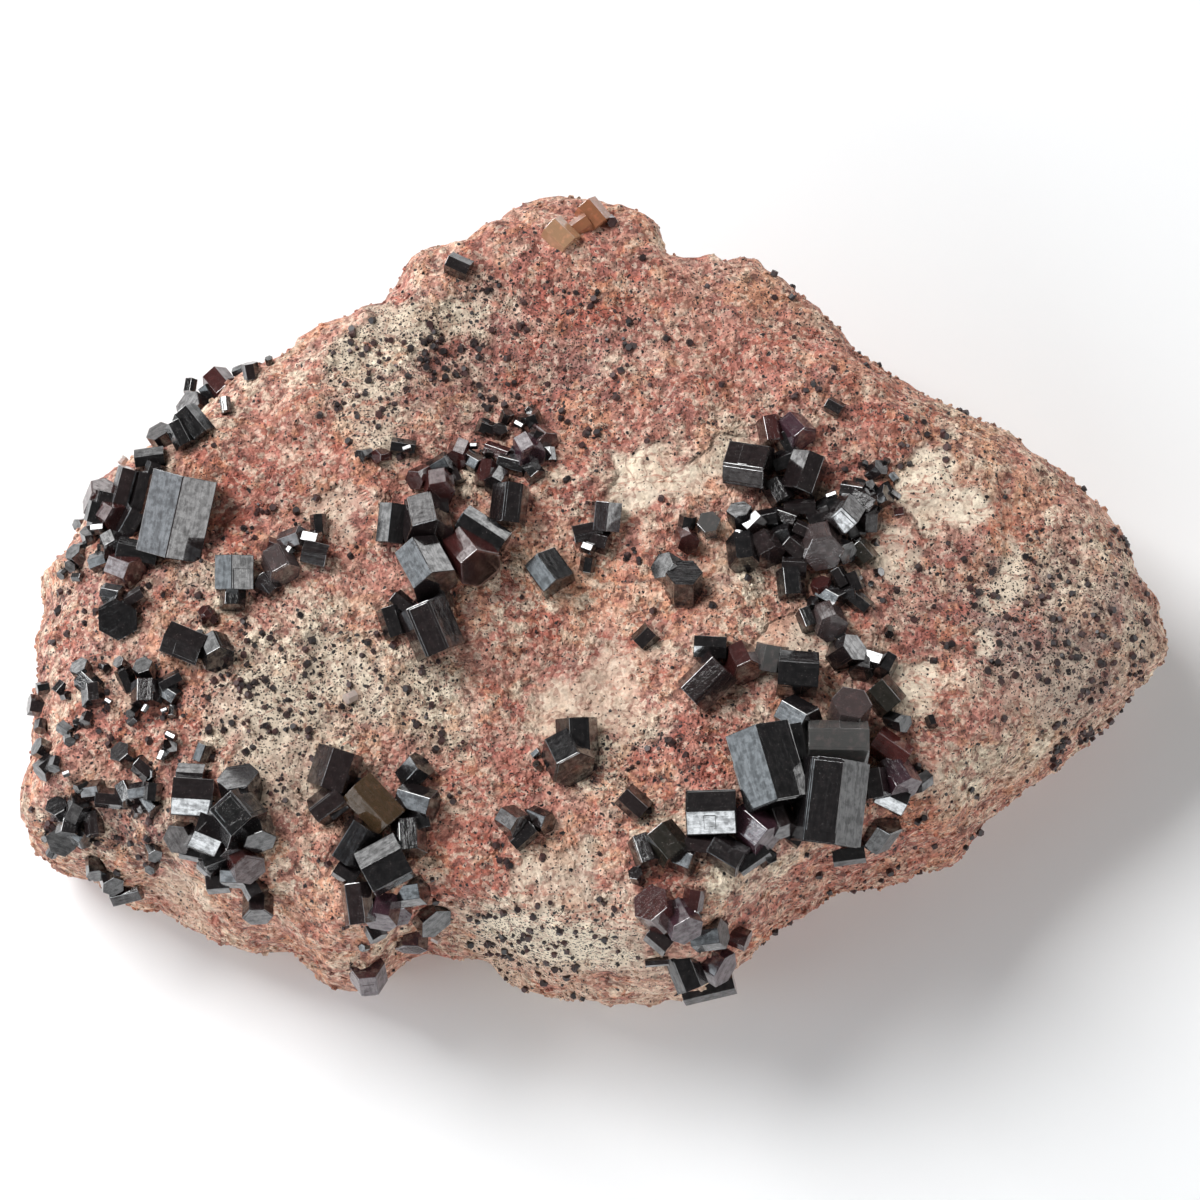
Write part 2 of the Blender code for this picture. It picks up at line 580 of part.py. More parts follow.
def settle(thing, keep_largest=False):
    """Turn an object's modifiers into its mesh, without slivers or crumbs."""
    evaluated = thing.evaluated_get(bpy.context.evaluated_depsgraph_get())
    mesh = bpy.data.meshes.new_from_object(evaluated)
    thing.modifiers.clear()
    builder = bmesh.new()
    builder.from_mesh(mesh)
    bmesh.ops.remove_doubles(builder, verts=builder.verts, dist=MERGE_DISTANCE * MM)
    bmesh.ops.dissolve_degenerate(builder, edges=builder.edges, dist=MERGE_DISTANCE * MM)
    bmesh.ops.dissolve_limit(
        builder, angle_limit=FLAT_ANGLE, verts=builder.verts, edges=builder.edges)
    bmesh.ops.triangulate(builder, faces=builder.faces)
    if keep_largest:
        remove_crumbs(builder)
    builder.to_mesh(mesh)
    builder.free()
    mesh.name = thing.name
    thing.data = mesh


def remove_crumbs(builder):
    """Keep only the largest connected body."""
    waiting = set(builder.verts)
    bodies = []
    while waiting:
        body = [waiting.pop()]
        for vertex in body:
            for edge in vertex.link_edges:
                other = edge.other_vert(vertex)
                if other in waiting:
                    waiting.remove(other)
                    body.append(other)
        bodies.append(body)
    bodies.sort(key=len)
    for body in bodies[:-1]:
        bmesh.ops.delete(builder, geom=body, context="VERTS")


def grown_together(name, rows, collection, cutters, finish):
    """One closed body of crystals that cross each other."""
    body = crystal_object(name, rows[:1], collection, finish)
    if len(rows) > 1:
        others = crystal_object(name + "_others", rows[1:], cutters)
        hide_cutter(others)
        cut(body, others, "UNION", crossing=True)
        settle(body)


def main():
    """Build the slab and its crystals."""
    clear_scene()
    part = new_collection("vanadinite_in_matrix")
    cutters = new_collection("cutters")
    finishes = {name: make_finish(name) for name in FINISHES}

    slab = shaped_slab(part, finishes["matrix"])
    fast = crystal_object("fast_crystals", FAST_CRYSTALS, cutters)
    hide_cutter(fast)
    sockets = []
    for name, rows in CRYSTAL_GROUPS.items():
        finish = finishes["crystal_tan" if name in TAN_GROUPS else "crystal_dark"]
        grown_together(name, rows, part, cutters, finish)
        sockets.append(crystal_object(name + "_socket", rows, cutters, growth=SOCKET_GAP))
    cut(slab, fast, "UNION", crossing=True)
    for socket in sockets:
        hide_cutter(socket)
        cut(slab, socket, "DIFFERENCE", crossing=True)
    settle(slab, keep_largest=True)


main()
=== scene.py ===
"""Vanadinite in matrix: a slab of red and cream stone with dark, stout six-sided crystals on its face.

Every place on the face is read in millimetres across the face as it is seen from EYE, the camera's own
place above the front of the slab: 'across' runs to the right and 'up' runs to the back. A place is
brought down to the slab along the line of sight, as in the part that this script dresses.
"""
import math
import random

import bmesh
import bpy
import numpy
from bpy.props import FloatProperty, FloatVectorProperty, IntProperty, PointerProperty
from mathutils import Matrix, Vector, noise


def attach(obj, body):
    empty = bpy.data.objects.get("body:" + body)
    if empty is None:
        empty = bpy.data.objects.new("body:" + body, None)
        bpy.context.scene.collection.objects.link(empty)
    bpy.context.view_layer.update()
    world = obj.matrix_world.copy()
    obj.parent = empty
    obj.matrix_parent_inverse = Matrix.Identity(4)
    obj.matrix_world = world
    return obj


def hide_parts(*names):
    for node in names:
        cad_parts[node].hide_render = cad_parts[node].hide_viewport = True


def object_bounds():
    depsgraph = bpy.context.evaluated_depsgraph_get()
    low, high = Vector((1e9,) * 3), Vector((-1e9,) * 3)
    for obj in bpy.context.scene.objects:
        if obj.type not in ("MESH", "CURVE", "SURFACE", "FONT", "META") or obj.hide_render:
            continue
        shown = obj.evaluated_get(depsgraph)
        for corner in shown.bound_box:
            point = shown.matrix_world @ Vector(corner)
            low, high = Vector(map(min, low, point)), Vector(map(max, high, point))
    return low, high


bl_info = {
    "name": "Vanadinite in Matrix",
    "version": (1, 0, 0),
    "blender": (4, 5, 0),
    "location": "3D View > Sidebar > Mineral",
    "description": "Builds a slab of speckled stone covered with dark six-sided crystals",
    "category": "Add Mesh",
}

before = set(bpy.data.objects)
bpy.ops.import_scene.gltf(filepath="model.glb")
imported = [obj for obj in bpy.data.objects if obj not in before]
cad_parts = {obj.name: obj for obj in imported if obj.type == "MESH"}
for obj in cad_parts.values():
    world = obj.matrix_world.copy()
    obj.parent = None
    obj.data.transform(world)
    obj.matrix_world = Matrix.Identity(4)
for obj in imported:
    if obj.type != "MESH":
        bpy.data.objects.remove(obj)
CAD_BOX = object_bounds()
MM = 0.001

# The slab's form, in millimetres
PLATEAU_HEIGHT = 31.0
FOOT_SHARE = 0.93
LUMP_HEIGHT = 2.6
LUMP_LENGTH = 21.0
KNOB_HEIGHT = 0.9
KNOB_LENGTH = 6.0
SHOULDER_POWER = 2.3
TOP_LIMIT = -0.55
FOOT_LIMIT = -0.85
PROFILE_STEPS = 48
RING_STEPS = 720
# Finer relief on the same form: wavelength, height
FINE_RELIEF = ((4.6, 0.55), (2.3, 0.36), (1.2, 0.20))
# The way the stone's veins run, from the right, in radians
VEIN_HEADING = math.radians(-32)
EDGE_CRAGS = ((9.0, 1.0), (3.4, 0.7))

# The camera and the viewpoint that places are read from
VIEW_ELEVATION = math.radians(72)
VIEW_DISTANCE = 378.0
VIEW_CENTRE = Vector((0.2, -2.2, 24.0))
LENS = 100.0
SENSOR = 36.0
HEADROOM = 12.0
SIGHT_STEPS = 20

ACROSS = Vector((1, 0, 0))
UP = Vector((0, math.sin(VIEW_ELEVATION), math.cos(VIEW_ELEVATION)))
TOWARD = Vector((0, -math.cos(VIEW_ELEVATION), math.sin(VIEW_ELEVATION)))
EYE = VIEW_CENTRE + VIEW_DISTANCE * TOWARD

# How far the soft lights stand from the object, in metres
SOFTBOX_DISTANCE = 0.80
# Soft lights: name, azimuth, elevation, width, height, share of the fill's power, colour
SOFTBOXES = (
    ("key", 145, 50, 0.36, 0.36, 1.0, (1.0, 1.0, 1.0)),
    ("left", 185, 30, 0.75, 0.50, 0.8, (0.84, 0.93, 1.0)),
    ("right", -15, 26, 0.50, 0.24, 0.30, (1.0, 1.0, 1.0)),
    ("front", -95, 25, 0.50, 0.18, 0.60, (0.93, 0.97, 1.0)),
)

# The slab's outline, anticlockwise from the right tip: across, up
OUTLINE = (
    (64.4, -6.2), (62.9, -1.7), (60.4, 3.6), (59.3, 6.6), (57.8, 7.9), (54.6, 12.0), (51.2, 14.3),
    (48.0, 17.0), (43.4, 19.6), (37.4, 22.7), (33.4, 25.3), (28.3, 28.9), (22.7, 34.0), (18.1, 37.9),
    (11.3, 38.3), (7.6, 39.6), (6.4, 42.4), (2.3, 44.8), (-4.5, 45.3), (-8.6, 44.6), (-11.3, 43.0),
    (-15.9, 40.6), (-21.3, 38.5), (-24.9, 33.6), (-30.6, 31.0), (-33.6, 29.4), (-37.4, 27.0),
    (-41.2, 25.2), (-43.6, 21.6), (-46.6, 19.4), (-51.2, 17.4), (-56.6, 11.9), (-58.6, 6.4),
    (-60.6, 3.2), (-62.9, 1.1), (-62.5, -3.0), (-64.0, -5.7), (-64.2, -8.5), (-64.0, -12.5),
    (-64.2, -15.0), (-64.0, -20.5), (-65.0, -23.0), (-65.6, -26.6), (-64.0, -28.9), (-61.0, -30.8),
    (-57.0, -32.2), (-54.0, -34.8), (-49.9, -35.3), (-43.1, -39.1), (-36.3, -40.4), (-30.6, -43.8),
    (-26.0, -44.3), (-22.4, -40.8), (-19.3, -39.7), (-13.6, -41.4), (-4.5, -45.3), (2.3, -46.0),
    (11.3, -45.3), (15.9, -41.4), (20.4, -37.4), (26.1, -34.2), (34.0, -31.8), (40.8, -29.3),
    (45.3, -23.6), (51.4, -19.4), (56.7, -15.0), (61.2, -10.2),
)

# Round the slab, by compass angle in degrees: the height of its widest line
BELT = ((-150, 8.0), (-90, 6.0), (-45, 8.0), (-5, 15.0), (25, 21.0), (60, 23.0), (100, 24.0), (135, 24.0),
        (160, 19.0), (-175, 13.0))
# Round the slab: the share of the radius over which the edge rounds down from the plateau
SHOULDER = ((-150, 0.20), (-110, 0.14), (-70, 0.13), (-35, 0.20), (-5, 0.34), (20, 0.26), (50, 0.26),
            (90, 0.22), (125, 0.16), (160, 0.24), (-170, 0.30))
# Hills and hollows of the plateau: x, y, spread, rise
HILLS = (
    (24.0, -17.0, 13.0, 2.4), (-20.0, 4.0, 13.0, 1.8), (-42.0, -22.0, 9.0, 1.2), (-53.0, -26.0, 6.0, -3.2),
    (0.0, -10.0, 14.0, -1.4), (-34.0, 24.0, 12.0, -2.2), (4.0, 33.0, 18.0, -2.0), (47.0, 2.0, 13.0, -3.0),
    (-35.0, -8.0, 12.0, 0.8), (38.0, -22.0, 8.0, -1.8),
)

# Crystals that have grown together, each group one piece. A crystal is given by the middle of its body
# (across, up), its radius to a corner, its length, the heading of its long axis (degrees anticlockwise
# from the right), how far that end turns toward the viewer, its roll, and how high its middle stands.
CRYSTAL_GROUPS = {
    "crystal_upper_block": ((-45.5, 21.3, 1.95, 4, 145, 45, 0, 1.2),),
    "crystals_upper_left": (
        (-47.5, 18.8, 1.45, 3, -62, 8, 0, 1.4), (-46.1, 19.9, 1.8, 3.8, -50, 10, 0, 0.9),
    ),
    "crystals_left_rim": (
        (-48, 9.7, 4.3, 9.3, 77, 3, -24, 1.9), (-51, 16.1, 1.3, 3.4, 8, 0, 15, 0.8),
        (-50.6, 14.3, 1.4, 2.6, 70, 5, 0, 0.3), (-51.9, 12.2, 1.4, 4.4, 77, 0, 0, 0.6),
        (-52.9, 8.6, 1.7, 3.6, 60, 10, 0, 0.2), (-52.4, 5.2, 1.6, 4.6, -12, 0, 0, 0.5),
        (-56.4, 9.3, 1.8, 6, 78, 0, 0, 0.3), (-53.7, 12.9, 1.55, 4.2, 74, 5, 0, 1.2),
        (-57.2, 10, 1.15, 2.4, 75, 5, 0, 1.9), (-55.2, 9.5, 1.7, 2.6, -30, 50, 0, 0.9),
        (-55.3, 6.2, 1.6, 2, -60, 45, 0, 1.2), (-57.7, 7, 1.2, 2.2, 100, 30, 0, 0.4),
        (-53.8, 3.4, 1.9, 3.2, -20, 35, 0, 0.8), (-56.6, 4.4, 1.2, 2.2, 20, 20, 0, 0.3),
        (-59.2, 5, 1.2, 2, 130, 40, 0, 0.2), (-56.8, 11.5, 1.9, 3.4, 60, 40, 0, 1),
    ),
    "crystal_upper_end": ((-42.9, 24.2, 1.9, 3.4, -48, 35, 0, 0.3),),
    "crystals_left_patch": (
        (-54.6, -1.8, 2.5, 3, -70, 76, 10, 0.6), (-55.3, 0.7, 1.2, 2.2, -10, 15, 0, 1.3),
        (-52.6, 0.3, 1, 2.2, 30, 10, 0, 0.8),
    ),
    "crystals_left_pair": (
        (-47, -5, 2.3, 4.4, -22, 5, 25, 0.9), (-43.6, -5.9, 1.95, 3, -60, 45, 0, 0.6),
    ),
    "crystals_left_middle": (
        (-51.4, -10.6, 1.8, 2.6, -88, 20, 0, 0.7), (-51.5, -8.2, 1.3, 2.6, 110, 45, 0, 0.4),
        (-53.7, -9, 1.1, 2.6, 110, 20, 0, 0.3), (-48.9, -10.7, 1.2, 2.6, -30, 20, 0, 0.2),
        (-48.6, -9.2, 1, 2.6, 28, 0, 0, 0.8),
    ),
    "crystals_far_left": (
        (-58.6, -8.1, 1.2, 2.2, 120, 40, 0, 0.4), (-57.9, -9.6, 1.3, 2.6, -40, 20, 0, 0.3),
        (-57.5, -10.9, 1.4, 2.2, -80, 30, 0, 0.5),
    ),
    "crystals_spiky_corner": (
        (-61.2, -23.9, 1.4, 2.4, 120, 50, 0, 0.5), (-59.2, -23.6, 1.4, 2.6, 60, 30, 0, 0.4),
        (-59.9, -25.2, 1.6, 3.2, -100, 20, 0, 0.2), (-60.8, -26.9, 1.9, 2.6, -110, 60, 0, 0.8),
        (-58.9, -26.6, 1.3, 2.4, -30, 30, 0, 0.7), (-57.4, -25.4, 1.2, 2.6, -80, 20, 0, 0.5),
        (-57.3, -21.6, 1.2, 2.4, 10, 30, 0, 0.2), (-55.4, -22.5, 1.2, 3.4, -5, 0, 0, 0.3),
        (-53.6, -22, 1.2, 2.4, -60, 30, 0, 0.4), (-51.9, -21.8, 1.2, 2.6, 10, 20, 0, 0.4),
        (-50.7, -21.7, 1.1, 2, 85, 0, 0, 0.9), (-50.9, -23.3, 1.1, 2.2, -50, 30, 0, 0.2),
    ),
    "crystals_lower_left_corner": (
        (-57.1, -30.2, 1.3, 2.6, -80, 35, 0, 0.6), (-55.4, -31.8, 1.4, 2.4, -60, 50, 0, 0.4),
    ),
    "crystals_lower_left": (
        (-46.3, -20, 1.6, 3, -3, 5, 10, 0.9), (-46.2, -22.4, 2.55, 4.4, -4, 0, 0, 1.2),
        (-44.7, -26.6, 2.6, 3.2, -24, 5, 0, 1.6), (-47.2, -26.8, 1.9, 2.6, -150, 60, 0, 0.8),
        (-46.1, -28.4, 1.2, 2.8, -12, 0, 0, 0.6), (-43.4, -29, 1.6, 3, 20, 0, 0, 0.2),
        (-40.8, -21.3, 2.5, 3.4, 100, 35, 0, 0.7), (-41.1, -24.6, 3.15, 3.8, -48, 15, 0, 1.8),
        (-38.9, -26.3, 2, 3, -70, 40, 0, 1), (-41.8, -27.7, 1.5, 2.6, -80, 30, 0, 0.5),
        (-40.3, -29.6, 2.15, 3.2, -50, 50, 0, 0.7), (-41.2, -31.3, 1.5, 2.8, 0, 20, 0, 0.6),
        (-44.2, -30.3, 1.2, 2.2, -40, 20, 0, 0.4), (-43.2, -31.9, 1.45, 2.5, 5, 5, 0, 0.9),
        (-39.4, -32.2, 1.4, 3, -60, 20, 0, 0.5), (-38.8, -34, 1.85, 4.4, -87, 36, 0, 1),
    ),
    "crystals_bright_face": (
        (-41.4, 3.1, 2.5, 3.8, 90, 0, -18, 1), (-41.6, 0.4, 1.5, 3, -90, 25, 0, 0.3),
    ),
    "crystals_left_red": (
        (-36.3, 3.9, 2, 3.2, -60, 35, 0, 0.9), (-36.8, 5.7, 1.3, 2.6, 160, 20, 0, 0.4),
        (-34.8, 6.7, 1.5, 2.8, 20, 25, 0, 0.5), (-32.3, 5.1, 1.5, 2.8, -13, 3, 25, 0.9),
        (-32.7, 6.9, 1.1, 1.9, -10, 0, 0, 1), (-31.9, 8.5, 1, 2.4, -85, 3, 0, 0.7),
        (-37.6, 1.8, 1.1, 2.4, -50, 25, 0, 0.5),
    ),
    "crystals_centre_left": (
        (-23.4, 8.6, 1.9, 4.4, 84, -5, 20, 0.9), (-19.7, 8.6, 2.85, 4.8, -75, 46, 0, 1.4),
        (-19.6, 10.4, 1.3, 5, 4, 0, 0, 0.7), (-13.3, 7.7, 1.95, 5.6, -33, 5, 10, 1.2),
        (-10.3, 10.7, 2.2, 4.5, -96, 12, -10, 1), (-14.6, 5, 2.75, 4.8, -50, 46, 0, 1.4),
        (-19.7, 3.5, 2.95, 5.4, -60, 32, 20, 1.6), (-18.2, 0.7, 1.2, 3.8, -70, 5, 0, 0.5),
        (-19.2, -3.3, 3.05, 5.7, -67, 4, 5, 1.2), (-23.5, -2.5, 1.5, 3.4, -72, 5, 0, 0.3),
        (-22.3, -0.6, 1.2, 2.8, -40, 10, 0, 0.2), (-20.4, 13.9, 1.3, 2.4, -150, 50, 0, 0.6),
        (-18.2, 12.7, 1.9, 3, -80, 55, 0, 1.1), (-18, 15.1, 1.4, 2.6, 30, 20, 0, 0.5),
        (-16, 16.6, 1.4, 2.6, -110, 50, 0, 0.9), (-14.6, 15.8, 1.2, 2.8, -30, 25, 0, 0.6),
        (-13, 14.3, 1.2, 2.8, -95, 25, 0, 0.6), (-11.7, 13.5, 1.35, 2.4, -120, 50, 0, 0.8),
        (-11.6, 16.6, 1.1, 3, -20, 20, 0, 0.4), (-9.9, 15.3, 1.3, 3.2, -15, 15, 0, 0.3),
        (-8.1, 16.9, 1.8, 3, -60, 50, 0, 1.3), (-7.1, 18.2, 1.2, 2.4, 70, 20, 0, 0.9),
        (-6.4, 18.4, 1.4, 2.8, -40, 50, 0, 0.7), (-7.7, 20, 1.4, 2.6, 110, 20, 0, 0.3),
        (-7.7, 14.6, 1.2, 2.6, -50, 30, 0, 0.3),
    ),
    "crystal_blue_face": ((-5.7, 3, 2.4, 3.9, -54, 6, 29, 1),),
    "crystals_centre_trio": (
        (0.6, 9.5, 1.9, 3.3, 84, 3, -18, 1), (-1.5, 7.7, 1.2, 3.2, 12, 0, 25, 0.8),
        (-0.3, 6.7, 1.4, 2.8, -15, 15, 0, 0.4),
    ),
    "crystals_centre_barrels": (
        (9.5, 1.8, 2.15, 3.8, 90, 46, 0, 1.1), (7.9, 3.4, 1.75, 2.8, 150, 42, 0, 0.8),
    ),
    "crystals_small_barrels": (
        (9.8, 6.9, 1.45, 2.4, -70, 55, 0, 0.6), (9.8, 8.5, 1.05, 2.2, 80, 20, 0, 0.4),
    ),
    "crystal_round_end": ((12.4, 8.4, 1.4, 2.2, 100, 65, 0, 0.5),),
    "crystal_small_box": ((5.2, -4.2, 1.35, 2.2, 45, 8, 0, 0.5),),
    "crystals_centre_row": (
        (12.2, -9.2, 2.65, 4.9, 45, 5, -22, 1.1), (12.5, -5.4, 1.4, 3.6, -3, 0, 24, 0.6),
        (16.1, -7.1, 1.95, 3.2, -65, 42, 0, 0.8), (19.3, -6.5, 1.95, 2.9, 80, 3, 0, 0.9),
        (22.4, -8.3, 2.6, 4.4, -4, 0, 0, 1.2),
    ),
    "crystals_twin": (
        (-2.5, -16, 2.5, 5, -87, 4, -8, 1), (-3.6, -17.9, 2.65, 4, -62, 44, 0, 1.5),
    ),
    "crystal_mirror_bar": ((3.8, -23, 1.55, 3.1, -42, 3, 0, 0.7),),
    "crystals_low_trio": (
        (-9.8, -25.3, 1.75, 2.8, -30, 42, 0, 0.6), (-8.6, -26.7, 1.1, 3, 42, 5, 0, 0.8),
        (-6.8, -25, 1.4, 2.6, -20, 35, 0, 0.5),
    ),
    "crystals_lower_centre": (
        (-25.6, -23.2, 2.5, 5.6, -47, 4, 30, 1.4), (-26.7, -21.2, 1.1, 2, 85, 0, 0, 1.9),
        (-20.7, -23, 2, 4, -15, 20, 0, 0.8), (-20.8, -25.2, 1.3, 3.2, 12, 5, 0, 0.3),
        (-21.7, -27.1, 2, 3.6, -85, 25, 0, 0.6), (-27.6, -27.6, 2.2, 4.6, 58, 4, -15, 0.9),
        (-24.4, -30, 2.85, 4.8, 28, 3, 12, 2), (-28.8, -31, 1.1, 2.6, -33, 0, 0, 0.8),
        (-27.4, -34.4, 1.8, 4.4, -82, 5, 10, 1.1), (-24.6, -35.1, 1.95, 3.4, -100, 38, 0, 0.6),
        (-22.7, -35.1, 1.35, 2.6, -80, 55, 0, 1.1), (-21.5, -33, 1.85, 3.4, 10, 20, 0, 0.7),
        (-30.1, -19.2, 2.7, 4.4, 72, -4, 8, 1.1), (-30.6, -23, 1.95, 3.8, 38, 10, 0, 0.7),
        (-21, -19.5, 1.8, 2.7, 48, 20, 25, 0.8),
    ),
    "crystal_lower_cube": ((-19.4, -35.6, 2.25, 3.4, -50, 36, 0, 0.9),),
    "crystal_lower_wall": ((-21.3, -38.1, 1.9, 3.2, -92, 22, 0, 0.4),),
    "crystal_front_edge": ((-26.3, -42.2, 2.3, 3.4, 95, 48, 0, 0.6),),
    "crystals_right_swarm": (
        (15.9, 9.3, 1.5, 2.6, 100, 38, 0, 0.5), (17.4, 8.8, 1.25, 2.2, 45, 0, 0, 1),
        (18.9, 9.1, 1.25, 2.8, 10, 15, 0, 0.4), (16.2, 5.4, 1.85, 3.6, -85, 36, 0, 0.9),
        (18.8, 5.7, 1.95, 3, -60, 38, 0, 0.7), (20.6, 7.2, 1.35, 2.6, 20, 20, 0, 0.6),
        (21.2, 9.2, 1.3, 2.6, -20, 20, 0, 0.5), (22.6, 10.3, 1.25, 3.6, 3, 0, 0, 0.4),
        (24.9, 9.2, 1.15, 2.6, 22, 3, 0, 1.1), (27.6, 9.8, 2.4, 2.6, -43, 2, 0, 2),
        (26, 10.7, 1.2, 2.6, 30, 10, 0, 0.5), (30, 11, 1.6, 2.8, -30, 20, 0, 0.8),
        (30.6, 9.3, 1.45, 2.4, 90, 30, 0, 0.6), (28.7, 12.3, 1.2, 2.6, -10, 20, 0, 0.6),
        (31.8, 11.6, 1.2, 2.4, 30, 35, 0, 0.5), (23.1, 7.7, 1.1, 2.5, -25, 3, 0, 1.1),
        (25.1, 6.1, 2.45, 3.4, -80, 60, 0, 1.8), (27.2, 5.6, 1.5, 2.8, -20, 45, 0, 1.3),
        (28.5, 8, 1.3, 2.8, -60, 25, 0, 0.5), (29.8, 5.2, 1.45, 2.4, -50, 20, 0, 0.7),
        (22.2, 5.6, 1.5, 2.6, -40, 20, 0, 0.7), (22, 3.7, 1.25, 2.8, -3, 3, 0, 0.9),
        (21.7, 1.8, 1.65, 3.2, -85, 18, 0, 0.5), (16.9, 15.2, 3, 4.6, -9, 16, 30, 1.3),
        (23.3, 14.2, 2.4, 4.5, -110, 12, -12, 1.1), (21.3, 15.8, 1.5, 3, 20, 15, 0, 0.4),
        (20.2, 12.2, 1.5, 2.8, -60, 25, 0, 0.4), (19.4, 19.1, 1.6, 3, -80, 20, 0, 0.4),
        (22.4, 19.2, 1.9, 3.2, -50, 38, 0, 0.7), (21.3, 17.6, 1.3, 2.8, -60, 10, 0, 0.2),
    ),
    "crystals_right_chain": (
        (27.1, 2.4, 1.1, 2.2, -60, 10, 0, 0.7), (28.8, 2.1, 1.1, 2.2, -68, 3, 0, 0.8),
        (25.2, 1.2, 1.2, 2.2, 110, 35, 0, 0.4), (26.2, 0.4, 1.3, 2.8, -30, 30, 0, 0.5),
        (28, 0.6, 1.1, 2.4, 10, 20, 0, 0.4), (29.5, -0.4, 1.2, 2.4, -40, 20, 0, 0.3),
        (25.9, -2.5, 2, 3, -70, 55, 0, 1.1), (23.7, -2.3, 1.25, 2.4, -70, 30, 0, 0.5),
        (27.3, -4.2, 1.3, 3.2, -40, 5, 0, 0.4), (27.9, -5.9, 1.85, 3.2, 35, 45, 0, 0.9),
        (29.7, -7.6, 1.45, 2.4, -100, 45, 0, 0.5), (31.1, -6.7, 1.2, 2.4, -17, 3, 0, 0.8),
        (32.4, -7.5, 1.25, 2.4, -120, 35, 0, 0.8),
    ),
    "crystal_striated": ((32.2, -10.9, 1.95, 3.2, -50, 5, 0, 0.8),),
    "crystals_right_large": (
        (19, -19.2, 4.1, 8.6, -74, 5, 30, 2), (26.2, -22.9, 4.35, 9, -97, 5, 14, 2.4),
        (27, -16.2, 2.55, 6.5, -1, 0, -12, 2.8), (22.5, -13.3, 2.2, 3.6, -30, 32, 0, 1),
        (28.2, -13, 2.3, 4.8, 80, 52, 0, 1.6), (22.3, -16, 1.8, 3.8, -80, 5, 0, 1),
        (12.7, -24, 2.95, 5.3, 2, 0, 24, 1.3), (17.6, -25.9, 2.5, 4.4, -40, 28, 0, 0.8),
        (20.6, -25, 1.5, 3, -70, 35, 0, 1.3), (7.7, -27.6, 2.2, 3.6, -50, 22, 0, 1),
        (5.1, -28.5, 1.7, 3.2, -70, 28, 0, 0.5), (9.4, -29.2, 1.7, 3.2, -20, 25, 0, 0.3),
        (11.4, -27.9, 1.45, 3.4, -8, 3, 0, 0.7), (14.6, -28.8, 1.9, 3.8, -30, 18, 0, 0.7),
        (17.2, -29.2, 1.2, 3.8, 35, 0, 0, 0.5), (33, -22.5, 1.55, 3.4, -26, 3, 10, 1.1),
        (33.7, -20.2, 2.3, 3.6, -60, 32, 0, 0.9), (31, -20.9, 1.8, 3.2, -80, 10, 0, 1.2),
        (32.9, -17, 1.8, 4.2, -35, 5, 0, 0.7),
    ),
    "crystals_right_low": (
        (28.2, -28.7, 1.4, 3.6, 8, 5, 0, 0.6), (31.9, -26.4, 1.9, 3.4, 60, 38, 0, 0.8),
    ),
    "crystal_bottom_edge": ((12.3, -43.9, 1.6, 6, 14, 5, 0, 0.3),),
    "crystals_bottom": (
        (6.4, -35, 2.4, 3.4, 130, 48, 0, 0.7), (9.3, -36.4, 2, 3.4, -60, 48, 0, 1.3),
        (10.6, -33.9, 1.2, 2.4, 80, 20, 0, 0.3), (6.9, -38.4, 1.5, 2.8, -40, 10, 0, 0.9),
    ),
    "crystal_bottom_middle": ((12.4, -38, 1.9, 3.4, 10, 22, 0, 0.6),),
    "crystals_bottom_front": (
        (9.5, -41.6, 2, 5.2, -68, 3, 0, 1.5), (12.8, -41, 2.3, 3.8, -30, 28, 0, 0.8),
    ),
    "crystals_tan": (
        (-4.4, 41.3, 1.75, 3.4, -45, 15, 0, 0.5), (-2.5, 42.2, 1.2, 3.2, 35, 5, 0, 0.2),
        (-0.8, 43.6, 1.75, 3.2, -50, 6, 0, 0.5),
    ),
    "crystal_back_dark": ((-16, 37.8, 1.35, 2.8, -25, 8, 0, 0.5),),
}

# Small crystals that stand alone, grown fast to the matrix, in the same columns
FAST_CRYSTALS = (
    (-63.6, -12, 1.3, 2.4, 170, 20, 0, 0), (-63, -17, 1.2, 2.2, 150, 30, 0, 0.2),
    (-62.7, -19, 1.3, 2.2, -140, 30, 0, 0.2), (-54, -17.6, 1.3, 2, 130, 50, 0, 0.4),
    (-49.1, -17, 1, 1.8, 50, 40, 0, 0.3), (-44.6, -1.8, 1, 1.6, 90, 50, 0, 0.3),
    (-39.6, 26, 1, 1.8, 100, 20, 0, 0.2), (-22.3, 17.3, 1.1, 2.8, -8, 0, 0, 0.4),
    (-12.9, 19.5, 1, 2, 160, 20, 0, 0.4), (-11.5, 18.9, 0.95, 1.6, 70, 50, 0, 0.4),
    (-50.7, -28.5, 1, 1.8, -60, 45, 0, 0.4), (15.4, -38.1, 1.3, 3, -20, 15, 0, 0.2),
    (-25.6, -37.4, 1.15, 2.4, -60, 30, 0, 0.3), (-49.6, 18.3, 1.5, 2.6, 120, 40, 0, 0.5),
    (31.3, 14.6, 1.1, 2, 40, 40, 0, 0.3), (-1.4, 4.1, 0.95, 1.7, 80, 10, 0, 0.3),
    (26.6, 21.8, 1, 2, -30, 20, 0, 0.2),
)


